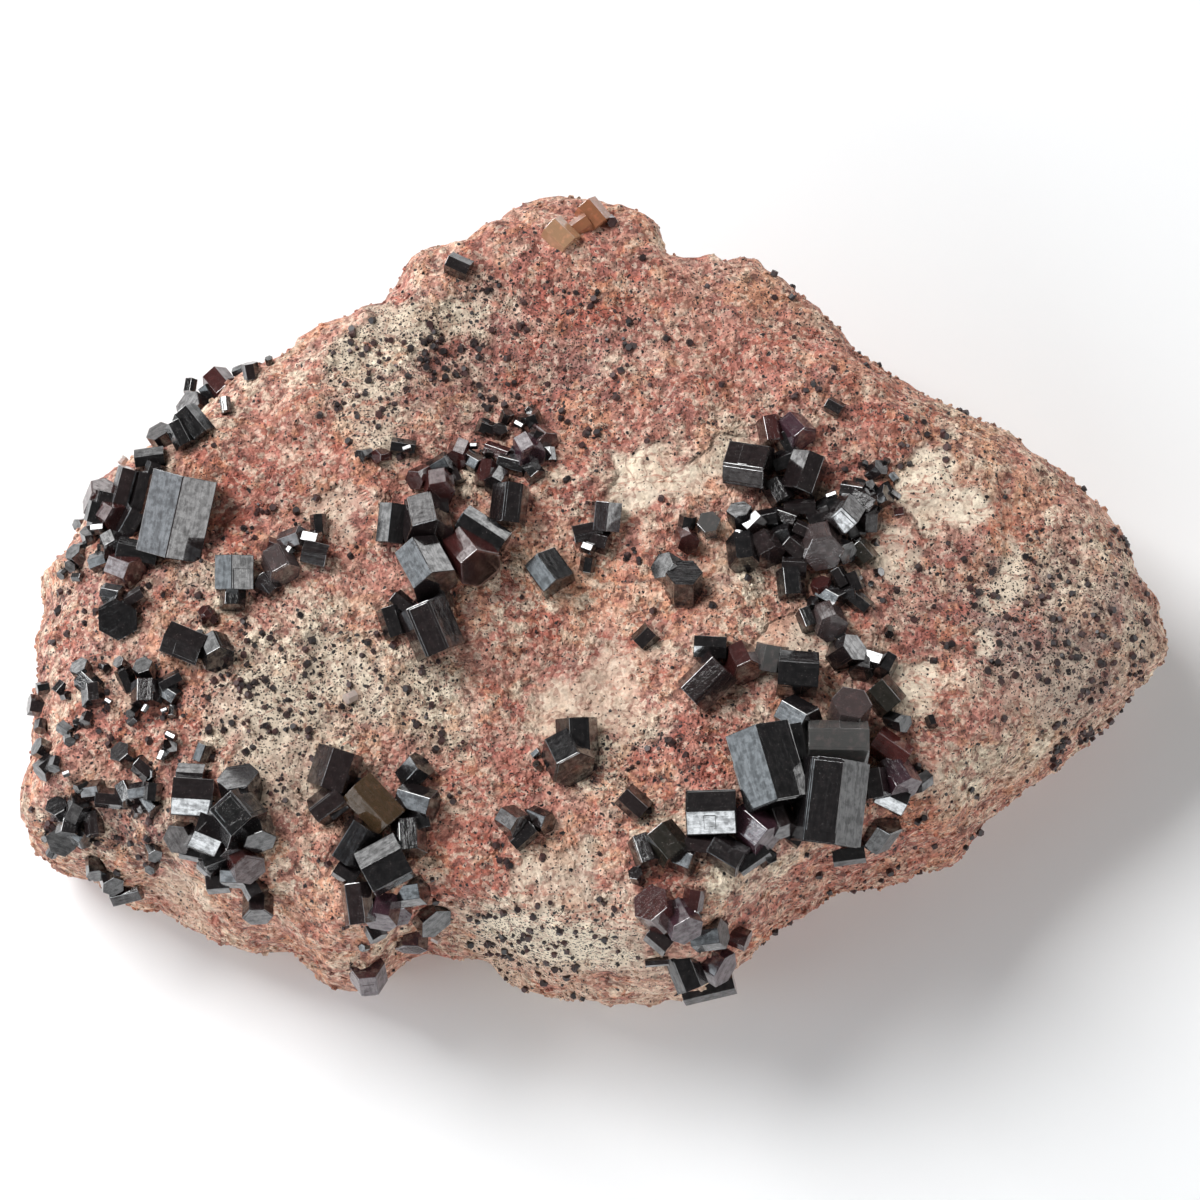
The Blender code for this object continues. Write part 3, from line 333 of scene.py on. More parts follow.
# Crystals too small for the solids: across, up, radius, and where it shows, length and heading
SMALL_CRYSTALS = (
    (-46.4, 24.2, 0.9), (-42.4, 22, 0.7, 2, -80), (-40.9, 26, 0.7), (-37.5, 27.1, 0.5), (-54.1, 15.8, 0.5),
    (-53.6, 11.2, 0.75), (-58.8, 8.6, 0.8), (-56.5, 5.8, 0.6), (-59.7, 4.1, 0.8), (-58.9, 5.8, 0.7),
    (-57.6, 3.9, 0.4), (-60.9, 3, 0.6), (-59.2, 2.6, 0.6), (-56.2, -7.7, 0.65), (-60.5, -10.9, 0.6),
    (-61.2, -10, 0.8), (-54.2, -7.4, 0.8), (-52.9, -12.7, 0.7), (-52.9, -13.6, 0.6), (-48.5, -12.7, 0.6),
    (-60.5, -14.8, 0.9), (-58.2, -13.6, 0.8), (-60.2, -15.7, 0.7), (-59.2, -14.2, 0.6), (-63.2, -10, 0.8),
    (-63.4, -14.3, 0.8), (-61.8, -18.6, 0.8), (-52.2, -18.2, 0.55), (-50.8, -19.8, 0.7),
    (-62.5, -26.7, 0.8), (-62, -28.5, 0.7), (-58.8, -21.2, 0.7), (-52.4, -23.9, 0.8), (-50.8, -30.3, 0.7),
    (-44.3, -1.7, 0.85), (-45.3, -3.9, 0.5), (-44.2, -7.3, 0.6), (-28.3, -11, 0.7), (-26.7, 16.5, 0.8),
    (-24.8, 16.3, 0.9), (-16.3, 13.9, 0.8), (-12.5, 16.6, 0.8), (-9.6, 16.6, 0.9), (-5.7, 16.5, 0.75),
    (-7.7, 21.2, 0.7), (-10.6, 20.7, 0.8), (-13.2, 19.5, 0.9), (-12.2, 19.3, 0.5), (21.4, 20.3, 0.8),
    (20.1, 19.1, 0.7), (29.2, 7, 0.7), (31.3, 6.4, 0.5), (21.8, 5.6, 0.95), (22.3, 6.5, 0.8),
    (30.9, 12.6, 0.8), (29.3, 13.4, 0.6), (33.3, 13.9, 0.5), (29.8, 15.4, 0.5), (32.4, 15.6, 0.5),
    (33.4, 12, 0.6), (34, 10, 0.55), (24.2, -0.6, 0.85), (30.8, 1.7, 0.45), (31.5, 3.1, 0.6),
    (32.8, -3.6, 0.6), (33.7, -13.7, 1.15), (37.6, -13.8, 0.7), (36.4, -20.6, 1.1), (18.9, -29.3, 0.9),
    (21.7, -26.8, 0.8, 2.6, -35), (10.7, -35.8, 0.7), (6.5, -41, 0.6, 2.6, 5), (4.2, -31.4, 0.9),
    (-26.7, -39.4, 0.5), (-18.6, -38.5, 0.5), (-7.2, -17.4, 0.5), (-7, -18.8, 0.5), (1.2, 43, 0.7),
    (-2.5, 42.7, 0.7), (-51.7, -19.2, 1.1, 2.2, -40), (-45.1, -17.2, 1.05, 2, 70),
    (-43.9, 22.9, 1.3, 3.2, -60), (-53.7, -33.2, 1.4, 3.4, 14), (32.6, 12.6, 0.7, 1.5, -60),
    (-38.1, 1.6, 1, 1.8, -30),
)

# Small bright crystals whose widest face catches the key light: across, up, radius, length, heading
GLINT_LIFT = 1.2
GLINTS = (
    (-56.9, 8.1, 0.75, 1.5, 5), (-32.7, 7.2, 0.75, 1.4, -10), (-35.3, 5.4, 0.6, 1.2, 60),
    (-48.6, -15.4, 0.55, 1.2, -25), (-49.7, -17.7, 0.6, 1.1, 70), (-51.6, -12.3, 0.4, 0.9, 60),
    (-55.7, -11.5, 0.4, 0.8, -30), (-49.4, -12.5, 0.35, 0.7, 20), (-60.5, -19.7, 0.4, 0.8, 20),
    (-29.6, -23.9, 0.55, 2.2, 38), (-21.8, 17.2, 0.5, 1, 20), (-14.3, 17.5, 0.45, 0.9, 0),
    (-9.1, 19.9, 0.5, 1.1, -30), (-1.3, 5.9, 0.72, 1.3, -20), (15.7, 6.9, 0.8, 1.8, 80),
    (26.3, 11.9, 0.5, 1.2, 20), (10.7, -35.9, 0.5, 1.4, 80), (6.3, -38.2, 0.45, 1.1, -30),
    (-53.9, -33, 0.5, 2.2, 14), (-42.4, 22, 0.4, 1.3, -80), (31.1, -6.6, 0.55, 1.4, -17),
)
# Crystals with a larger radius than this have growth steps, or extra shells
STEPPED_RADIUS = 1.4
SHELLED_RADIUS = 1.5
# How near to a bright lamp, in degrees, a mirrored line of sight still meets it
GLINT_SPREADS = {"key": 17, "front": 19}
# How far a crystal that isn't to catch a light may be turned to keep it from mirroring a lamp, in degrees
NUDGES = (-18, -12, -6, 0, 6, 12, 18)
# How near a crystal stands to the place that names it, where it is to catch a light or has a tint
CATCHER_REACH = 0.3
TINT_REACH = 0.75
# Crystals whose widest face catches a light, by the light's name, each by its place
CATCHERS = {
    "left": ((-48.0, 9.7), (-41.4, 3.1), (19.0, -19.2), (-17.2, 0.5), (-5.7, 3.0)),
    "front": ((-46.2, -22.4), (-44.7, -26.6), (12.7, -24.0), (12.5, -5.4), (33.0, -22.5), (27.6, 9.8)),
    "key": ((17.4, 8.8), *(glint[:2] for glint in GLINTS)),
}

# Black grains: the share of specks above which they stand, how thick they stand there, and at a druse
GRAIN_THRESHOLD = 0.15
GRAIN_SHARE = 0.35
DRUSE_SHARE = 2.2
# Druses of black grains: across, up, size
GRAIN_SPOTS = (
    (-38.2, 10.4, 1), (-39.7, 7.5, 1.1), (-34.2, 9.2, 1), (-28, 5.2, 0.8), (-40, -2.9, 1),
    (-37.5, -4.2, 0.9), (-39.5, -5.3, 1), (-40.4, -7.2, 0.8), (-44.6, -11.2, 1), (-43.1, -9.2, 0.8),
    (-41.3, -10.2, 0.9), (-28.8, -36.8, 0.8), (-31.3, -29.5, 0.7), (-11.7, -40.8, 0.8), (-8.5, -42.5, 0.7),
    (-10.7, -29.7, 0.9), (-7, -29.5, 0.7), (-7, -34.8, 0.8), (-18, -16.5, 1.1), (-16.8, -22.6, 0.8),
    (-6.7, -3.8, 0.8), (3.8, 4.8, 1.3), (12.6, -0.8, 0.8), (-18.2, -7, 0.8), (-3.6, 13.3, 0.8),
    (-0.7, 19, 0.9), (22.1, 22.9, 0.9), (26.6, 21.8, 0.8), (34.7, 17.5, 0.9), (39, 18.7, 0.8),
    (34.4, 15.7, 0.9), (-19.6, 28.5, 1), (-18, 28.1, 1.1), (-15.7, 27.9, 1.2), (-13.7, 28.4, 0.9),
    (-19.5, 26.5, 1.1), (-16.2, 26, 0.9), (-19, 24.8, 0.9), (-14.4, 24, 0.8), (-13, 22.5, 0.9),
    (-9.2, 30.7, 0.9), (-3.6, 33, 0.8), (-1.6, 33.2, 0.9), (-0.4, 34.6, 0.8), (3, 31, 0.9),
    (3.5, 28.6, 0.9), (1, 29.5, 0.7), (50.5, -5, 1.1), (53, -7, 1.1), (57, -7.5, 1.2), (60.7, -7.7, 1),
    (56, -10, 1.2), (51.5, -13.5, 1.1), (46.5, -14, 1), (52, -16.5, 1), (55.5, -15.3, 1), (52, -18.5, 0.9),
    (42, -9.7, 1), (59.4, 6.5, 0.9),
)

# Crystals that aren't near black, by finish, each by its place
TINTS = {
    "red_brown": (
        (-43.3, 24.6), (-56.8, 11.5), (-55.2, 9.5), (-40.3, -29.6), (-14.6, 5.0), (-20.4, 13.9),
        (-18.2, 12.7), (-13.0, 14.3), (9.8, 6.9), (16.1, -7.1), (10.6, -33.9), (6.4, -35.0), (-44.3, -1.7),
        (-24.8, 16.3), (1.2, 43.0), (-36.8, 5.7), (34.0, 10.0), (15.4, -38.1),
        (-53.8, 3.4), (-16.0, 16.6), (-11.6, 16.6), (-6.1, 18.7), (19.4, 19.1), (25.2, 1.2)),
    "grey_brown": ((25.1, 6.1), (25.9, -2.5), (28.3, -12.7), (-36.3, 3.9), (-34.8, 6.7)),
    "purple": (
        (17.6, -25.9), (9.3, -36.4), (-24.6, -35.1), (-22.7, -35.1), (-8.1, 16.9), (12.8, -41.0),
        (-26.3, -42.2), (-21.3, -38.1), (22.4, 19.2), (33.7, -20.2)),
    "olive": ((32.2, -10.9), (7.7, -27.6), (29.8, 5.2)),
    "amber": ((-4.4, 41.3),),
    "copper": ((-0.8, 43.6), (-2.5, 42.5)),
    "ochre": ((-25.6, -23.2),),
    "ruby": ((32.9, -17.0),),
    "dusty": ((27.0, -16.2), (19.3, -6.5), (12.4, 8.4)),
    # Pale: small crystals whose pale colour stands partly for clear crystals and partly for a painted glint
    "pale": ((-54.1, 15.8), (-57.6, 3.9), (-44.2, -7.3), (-28.3, -11.0), (-18.6, -38.5)),
}
TINT_COLOURS = {
    "dark": (0.008, 0.0075, 0.008),
    "brown": (0.018, 0.011, 0.011),
    "red_brown": (0.048, 0.014, 0.013),
    "ruby": (0.070, 0.016, 0.014),
    "dusty": (0.075, 0.073, 0.070),
    "grey_brown": (0.060, 0.044, 0.043),
    "purple": (0.048, 0.022, 0.030),
    "olive": (0.018, 0.016, 0.012),
    "amber": (0.360, 0.205, 0.115),
    "copper": (0.270, 0.108, 0.052),
    "ochre": (0.060, 0.036, 0.018),
    # Pale: partly the colour of clear crystals, partly a painted glint
    "pale": (0.480, 0.400, 0.360),
}

# How much brighter a crystal's cloudy parts are, and the colour of the dust on it
CLOUD_GAIN = (2.2, 1.7, 1.7)
DUST_COLOUR = (0.26, 0.23, 0.21)
# The black grains' darkest and palest colour
GRAIN_COLOURS = ((0.020, 0.015, 0.016), (0.075, 0.030, 0.028))

# The stone's minerals: colour
MINERALS = {
    "cream": (0.660, 0.560, 0.430),
    "brick": (0.400, 0.115, 0.085),
    "salmon": (0.660, 0.330, 0.220),
    "plum": (0.260, 0.115, 0.105),
    "grey": (0.300, 0.225, 0.200),
    "tan": (0.480, 0.270, 0.180),
    "beige": (0.640, 0.500, 0.390),
    "soot": (0.100, 0.060, 0.055),
    "rose": (0.480, 0.190, 0.155),
    "orange": (0.660, 0.330, 0.180),
    "pale": (0.840, 0.720, 0.570),
    "chalk": (0.780, 0.680, 0.540),
    "deep": (0.150, 0.065, 0.055),
    "putty": (0.600, 0.510, 0.400),
    "vein": (0.440, 0.120, 0.075),
    "crack": (0.260, 0.130, 0.095),
    "pale_grain": (0.740, 0.620, 0.500),
    "red_grain": (0.240, 0.075, 0.055),
}
# How calm some minerals are, that is smooth and free of other grains, and a patch that takes specks away
CALM = {"chalk": 0.80, "putty": 0.65, "grey": 0.40}
CLEAN_CALM = 0.80
# The minerals whose patches have crisp edges, and how far a patch fades as a share of its width
CRISP_MINERALS = ("chalk", "putty")
CRISP_EDGE = 0.25
SOFT_EDGE = 0.60
# How far the patches' edges wander, in millimetres, and over what lengths: length, share
PATCH_WANDER = 3.4
PATCH_WAVES = ((6.5, 1.0), (2.4, 0.55))
# Chooses how they wander. Without a seed this noise starts from the clock.
PATCH_SEED = 3
# The share of black specks where no patch changes it, and how far it varies
BLACK_SHARE = 0.16
BLACK_SPREAD = 0.12
# Where each mineral shows: across, up, half width, half height, turn in degrees, mineral, strength,
# change to the share of black specks
PATCHES = (
    (-10, 28, 16, 9, 0, "plum", 0.7, 0.35), (-3, 36, 13, 7, -10, "brick", 0.7, 0.1),
    (33, 27, 20, 7, -38, "tan", 0.7, 0.2), (20, 28, 12, 8, -20, "brick", 0.5, 0.15),
    (-27, 24, 6.5, 6, 30, "cream", 0.8, 0.4), (-19, 31.5, 8, 3.4, 15, "cream", 0.75, 0.15),
    (-12.5, 34, 5, 3, 25, "cream", 0.65, 0.1), (-37, 16, 9, 5, 20, "brick", 0.65, 0),
    (-43, 11.5, 4.5, 7, 0, "brick", 0.75, 0), (-25, 11, 8, 6, 10, "brick", 0.6, 0.05),
    (-22, 0.5, 9, 7, 20, "brick", 0.45, 0.05), (-45, 1, 7, 3.6, 10, "cream", 0.7, 0.1),
    (-30, -9, 12, 6.5, -20, "cream", 0.75, 0.3), (-40, -13, 9, 7, 10, "cream", 0.5, 0.25),
    (-19, -13.5, 8, 4, -30, "cream", 0.6, 0.25), (-52, -13, 8, 6, 0, "brick", 0.55, 0.3),
    (-58, -3, 5, 7, 0, "plum", 0.5, 0.25), (-55, -25, 8, 5, -10, "soot", 0.55, 0.4),
    (-60, -27, 6, 3, -20, "beige", 0.45, 0.1), (-33, -33, 9, 6, 20, "salmon", 0.5, 0.05),
    (-15, -26, 8, 10, 30, "brick", 0.4, 0.05), (-17, -35, 6, 4, 20, "brick", 0.6, 0.05),
    (-7, -38.5, 10, 4.5, -8, "cream", 0.8, 0.25), (-1, -10, 7.5, 4.6, 35, "beige", 0.8, -0.1),
    (5, -18.5, 8, 5, 30, "cream", 0.65, 0.45), (-8, -20, 5, 5, 0, "brick", 0.6, 0.05),
    (0.5, 1, 12, 4, 10, "salmon", 0.8, 0), (10, 4, 12, 5, 20, "salmon", 0.5, 0.05),
    (-3, 8, 9, 5, 20, "salmon", 0.55, 0), (6.5, 13.5, 5, 3.2, 20, "chalk", 0.95, -0.15),
    (13, 16, 5, 2.4, 20, "chalk", 0.7, 0), (14, 18.5, 4.5, 3, 10, "cream", 0.75, 0.05),
    (3, 20, 12, 4, 0, "brick", 0.45, 0.2), (16, 2, 4, 4, 0, "cream", 0.55, 0.05),
    (-16, 2, 4.5, 5, 0, "beige", 0.4, 0.05), (22, -4, 6, 3, 20, "chalk", 0.75, 0.05),
    (17, -2.5, 6, 3, 0, "salmon", 0.7, 0), (30, 17, 8, 5, 10, "brick", 0.6, 0.15),
    (34.3, 5.9, 2.7, 2.1, 20, "chalk", 0.95, 0), (46, 12, 7, 5, -35, "tan", 0.6, 0.05),
    (43, 0, 10, 7, -20, "plum", 0.5, 0.3), (52, 3.6, 5, 3.4, -20, "soot", 0.45, 0.3),
    (35.7, -9.3, 3.2, 3, 20, "chalk", 0.95, 0.05), (52, -4, 11, 9, -30, "grey", 0.85, 0.5),
    (45, -18.5, 9, 3.6, 25, "cream", 0.65, 0.05), (39.5, 12.2, 5.2, 3.6, -40, "chalk", 0.97, 0.05),
    (46.6, 2.6, 1.6, 4.2, -15, "chalk", 0.9, 0.1), (45.5, 7, 1.8, 3.2, 0, "orange", 0.7, 0),
    (48, 10.5, 3.6, 3, -30, "salmon", 0.7, 0.05), (43.8, -5.2, 1.6, 1.2, 0, "chalk", 0.8, 0),
    (62, -6, 4, 5, -20, "beige", 0.75, 0.05), (11, -17.5, 7, 5.5, 40, "brick", 0.88, 0.05),
    (5, -33, 9, 5, 30, "brick", 0.5, 0.05), (17, -31.5, 7, 4, 20, "cream", 0.75, 0.1),
    (22.7, -30.6, 5, 3, 10, "cream", 0.55, 0.05), (31, -29, 12, 4, 20, "brick", 0.75, 0.15),
    (19, -36, 7, 4, 30, "brick", 0.6, 0.1), (46, -24, 9, 4, 30, "brick", 0.35, 0.1),
    (54, 5, 6, 8, -45, "beige", 0.4, 0.25), (-50, 5, 6, 4, 0, "plum", 0.55, 0.2),
    (-8, -3, 9, 1.2, 32, "brick", 0.85, 0), (-4.5, -7.5, 8, 0.9, 28, "rose", 0.8, 0),
    (4, -3.5, 8, 0.8, 22, "brick", 0.7, 0), (9, -14, 8, 1.6, 42, "brick", 0.85, 0),
    (-12, -19, 9, 1.3, 35, "brick", 0.75, 0), (-2, 32, 11, 1.6, 18, "brick", 0.85, 0.05),
    (-8, 38, 8, 1.3, 28, "rose", 0.8, 0), (38, -3, 8, 1.4, 30, "brick", 0.7, 0.05),
    (-40, -17, 6, 1.4, 20, "brick", 0.7, 0), (-49.5, -15.5, 5, 1.6, 12, "brick", 0.85, 0),
    (25, 24, 9, 1.6, -25, "rose", 0.65, 0.05), (43, -12, 9, 1.4, 32, "rose", 0.6, 0.1),
    (-26.5, 22.6, 3.6, 5.4, 25, "putty", 0.9, 0.35), (-19.5, 31.6, 7, 2, 17, "putty", 0.8, 0.2),
    (-28.5, -9, 7, 3.2, -20, "putty", 0.75, 0.25), (-39.5, -12.5, 5, 3, 10, "putty", 0.6, 0.2),
    (-7, -38.3, 7, 2.6, -8, "putty", 0.75, 0.2), (-30, 11.5, 2.2, 2.6, 0, "putty", 0.6, 0.05),
    (51, -10, 5, 3, 20, "putty", 0.45, 0.2), (36, -21.5, 4, 2, 20, "putty", 0.6, 0.05),
    (1, -37.5, 4.6, 4.6, 0, "putty", 0.75, 0.3), (-1, -29.5, 3.5, 2.5, 20, "cream", 0.7, 0.1),
    (5, -43.4, 5.5, 1.5, 0, "putty", 0.6, 0.1), (-35.5, -16, 4.4, 8, 10, "putty", 0.75, 0.25),
    (-47, -32.5, 3, 3.2, 0, "putty", 0.7, 0.05), (-42, -6, 3, 2, 0, "putty", 0.55, 0.05),
    (-54.5, -28.2, 3, 2.2, 0, "deep", 0.65, 0.15), (-5.5, -40, 8.5, 4.5, -6, "chalk", 0.7, 0.35),
    (-5, -31, 5, 3.2, 25, "putty", 0.7, 0.05),
)


class MatrixSettings(bpy.types.PropertyGroup):
    """Sizes and colours of the stone."""
    cells: IntProperty(
        name="Cells", description="Mesh cells along each side of the ball that is shaped to the slab",
        default=128, min=16, max=128)
    grain: FloatProperty(
        name="Grain", description="Width of the stone's grains", default=0.48 * MM, unit="LENGTH")
    speck: FloatProperty(
        name="Speck", description="Width of the cells that hold the black specks", default=0.68 * MM,
        unit="LENGTH")
    base_colour: FloatVectorProperty(
        name="Base", description="Colour of the stone between its patches", subtype="COLOR", size=3,
        default=(0.520, 0.270, 0.210), min=0, max=1)
    speck_colour: FloatVectorProperty(
        name="Specks", description="Colour of the black specks", subtype="COLOR", size=3,
        default=(0.022, 0.017, 0.017), min=0, max=1)


class CrystalSettings(bpy.types.PropertyGroup):
    """Sizes and finish of the crystals."""
    edge: FloatProperty(
        name="Edge", description="Width of the worn edge between two faces", default=0.05 * MM,
        unit="LENGTH")
    irregular: FloatProperty(
        name="Irregular", description="How far a side may stand in, as a share of the radius",
        default=0.14, min=0, max=0.4, subtype="FACTOR")
    roughness: FloatProperty(
        name="Roughness", description="Roughness of a clean face", default=0.08, min=0, max=1,
        subtype="FACTOR")


class GrainSettings(bpy.types.PropertyGroup):
    """Sizes of the loose relief on the stone."""
    grain_size: FloatProperty(
        name="Black grain", description="Radius of a black grain", default=0.34 * MM, unit="LENGTH")
    grain_spacing: FloatProperty(
        name="Black grains", description="Black grains for each square metre where they are thickest",
        default=1.6e6, min=0)
    crumb_size: FloatProperty(
        name="Crumb", description="Radius of a crumb of stone", default=0.40 * MM, unit="LENGTH")
    crumb_spacing: FloatProperty(
        name="Crumbs", description="Crumbs of stone for each square metre", default=4.4e5, min=0)
    seed: IntProperty(name="Seed", description="Chooses the scatter", default=7)


class StageSettings(bpy.types.PropertyGroup):
    """The floor and the light."""
    floor_colour: FloatVectorProperty(
        name="Floor", description="Colour of the floor", subtype="COLOR", size=3,
        default=(0.96, 0.96, 0.96), min=0, max=1)
    key: FloatProperty(
        name="Key", description="Power of the main soft light", default=6.0, unit="POWER")
    fill: FloatProperty(
        name="Fill", description="Power of the soft lights at the sides", default=2.9, unit="POWER")
    surround: FloatProperty(
        name="Surround", description="Strength of the dim room above the object", default=0.08, min=0)
    walls: FloatProperty(
        name="Walls", description="Strength of the pale walls round the object", default=2.5, min=0)


# Reading the slab's form

class AroundSlab:
    """A value at even steps round the slab, read by angle."""

    def __init__(self, read):
        self.values = [read(math.tau * step / RING_STEPS) for step in range(RING_STEPS)]

    def __call__(self, angle):
        turn = (angle % math.tau) / math.tau * RING_STEPS
        low = int(turn) % RING_STEPS
        high = (low + 1) % RING_STEPS
        return self.values[low] + (self.values[high] - self.values[low]) * (turn - int(turn))


def eased_table(table):
    """A reader of a table of (degrees, value), eased from one entry to the next."""
    entries = sorted((math.radians(degrees) % math.tau, value) for degrees, value in table)
    entries = ([(entries[-1][0] - math.tau, entries[-1][1])] + entries
               + [(entries[0][0] + math.tau, entries[0][1])])

    def read(angle):
        for before, after in zip(entries, entries[1:]):
            if before[0] <= angle <= after[0]:
                share = (angle - before[0]) / (after[0] - before[0])
                ease = share * share * (3 - 2 * share)
                return before[1] + (after[1] - before[1]) * ease
        return entries[0][1]
    return read


def sight_point(across, up, height):
    """The point at this height on the line of sight through a place on the face."""
    on_plane = VIEW_CENTRE + across * ACROSS + up * UP
    share = (EYE.z - height) / (EYE.z - on_plane.z)
    return EYE + share * (on_plane - EYE)


belt_height = AroundSlab(eased_table(BELT))
shoulder_share = AroundSlab(eased_table(SHOULDER))


def read_rim():
    """A reader of the slab's radius at its widest line."""
    points = []
    for across, up in OUTLINE:
        place = sight_point(across, up, belt_height(math.atan2(up, across)))
        points.append((math.atan2(place.y, place.x) % math.tau, math.hypot(place.x, place.y)))
    points.sort()
    points = ([(points[-1][0] - math.tau, points[-1][1])] + points
              + [(points[0][0] + math.tau, points[0][1])])

    def read(angle):
        for before, after in zip(points, points[1:]):
            if before[0] <= angle <= after[0]:
                share = (angle - before[0]) / (after[0] - before[0])
                return before[1] + (after[1] - before[1]) * share
        return points[0][1]
    return read


rim_radius = AroundSlab(read_rim())


def plateau_height(x, y):
    """The height of the face before its edge is rounded down."""
    height = PLATEAU_HEIGHT
    for hill_x, hill_y, spread, rise in HILLS:
        height += rise * math.exp(-((x - hill_x) ** 2 + (y - hill_y) ** 2) / (2 * spread ** 2))
    height += LUMP_HEIGHT * noise.noise(Vector((x / LUMP_LENGTH, y / LUMP_LENGTH, 3.1)))
    height += KNOB_HEIGHT * noise.noise(Vector((x / KNOB_LENGTH, y / KNOB_LENGTH, 7.7)))
    return height


def top_height(x, y):
    """The height of the slab's upper surface, falling away beyond its widest line."""
    angle = math.atan2(y, x)
    radius = math.hypot(x, y)
    rim = rim_radius(angle)
    belt = belt_height(angle)
    inset = (1 - radius / rim) / shoulder_share(angle)
    if inset <= 0:
        return belt - (radius - rim)
    rise = (1 - (1 - min(inset, 1)) ** SHOULDER_POWER) ** (1 / SHOULDER_POWER)
    return belt + (plateau_height(x, y) - belt) * rise


def even_shares(angle):
    """Shares of the radius at even steps along the surface, from the middle out to the widest line."""
    rim = rim_radius(angle)
    places = []
    for step in range(PROFILE_STEPS + 1):
        share = step / PROFILE_STEPS
        radius = share * rim
        height = top_height(radius * math.cos(angle), radius * math.sin(angle))
        places.append((share, radius, height))
    lengths = [0.0]
    for first, second in zip(places, places[1:]):
        lengths.append(lengths[-1] + math.hypot(second[1] - first[1], second[2] - first[2]))
    targets = numpy.linspace(0, lengths[-1], PROFILE_STEPS + 1)
    return numpy.interp(targets, lengths, [place[0] for place in places]).tolist()


PROFILE_ANGLES = 90
SPACING = [even_shares(math.tau * index / PROFILE_ANGLES) for index in range(PROFILE_ANGLES)]


def spaced_share(angle, fraction):
    """The share of the radius at a fraction of the way along the surface."""
    turn = (angle % math.tau) / math.tau * PROFILE_ANGLES
    first = int(turn) % PROFILE_ANGLES
    second = (first + 1) % PROFILE_ANGLES
    step = min(fraction * PROFILE_STEPS, PROFILE_STEPS - 1e-6)
    low = int(step)
    values = []
    for row in (SPACING[first], SPACING[second]):
        values.append(row[low] + (row[low + 1] - row[low]) * (step - low))
    return values[0] + (values[1] - values[0]) * (turn - int(turn))


def slab_point(direction):
    """The point of the slab that a direction from its middle is shaped to."""
    angle = math.atan2(direction.y, direction.x)
    rim = rim_radius(angle)
    if direction.z >= TOP_LIMIT:
        fraction = math.sqrt((1 - direction.z) / (1 - TOP_LIMIT))
        radius = spaced_share(angle, fraction) * rim
        x = radius * math.cos(angle)
        y = radius * math.sin(angle)
        return Vector((x, y, top_height(x, y)))
    if direction.z > FOOT_LIMIT:
        fall = (TOP_LIMIT - direction.z) / (TOP_LIMIT - FOOT_LIMIT)
        height = belt_height(angle) * (1 - fall)
        radius = rim * (1 - (1 - FOOT_SHARE) * fall ** 1.5)
        return Vector((radius * math.cos(angle), radius * math.sin(angle), height))
    share = FOOT_SHARE * math.sqrt((1 + direction.z) / (1 + FOOT_LIMIT))
    return Vector((share * rim * math.cos(angle), share * rim * math.sin(angle), 0.0))


def to_face(points):
    """Where points in millimetres are seen on the face, as arrays of across and up."""
    rays = points - numpy.array(EYE)
    toward = numpy.array(TOWARD)
    reach = -VIEW_DISTANCE / (rays @ toward)
    flat = numpy.array(EYE) + rays * reach[:, None] - numpy.array(VIEW_CENTRE)
    return flat @ numpy.array(ACROSS), flat @ numpy.array(UP)


# Materials as arithmetic on sockets

class Signal:
    """A socket of a material's node tree that can be used in sums."""

    def __init__(self, tree, socket):
        self.tree = tree
        self.socket = socket

    def join(self, operation, first, second=None, clamp=False):
        """A Math node on one or two values."""
        node = self.tree.nodes.new("ShaderNodeMath")
        node.operation = operation
        node.use_clamp = clamp
        for place, value in enumerate((first, second)):
            if isinstance(value, Signal):
                self.tree.links.new(value.socket, node.inputs[place])
            elif value is not None:
                node.inputs[place].default_value = value
        return Signal(self.tree, node.outputs[0])

    def __add__(self, other):
        return self.join("ADD", self, other)

    def __radd__(self, other):
        return self.join("ADD", other, self)

    def __sub__(self, other):
        return self.join("SUBTRACT", self, other)

    def __rsub__(self, other):
        return self.join("SUBTRACT", other, self)

    def __mul__(self, other):
        return self.join("MULTIPLY", self, other)

    def __rmul__(self, other):
        return self.join("MULTIPLY", other, self)

    def below(self, other):
        """1 where this is below the other, else 0."""
        return self.join("LESS_THAN", self, other)

    def clamped(self):
        """This value held between 0 and 1."""
        return self.join("ADD", self, 0.0, clamp=True)

    def step(self, low, high):
        """0 below low, 1 above high, eased between them."""
        node = self.tree.nodes.new("ShaderNodeMapRange")
        node.interpolation_type = "SMOOTHSTEP"
        self.tree.links.new(self.socket, node.inputs["Value"])
        node.inputs["From Min"].default_value = low
        node.inputs["From Max"].default_value = high
        return Signal(self.tree, node.outputs["Result"])


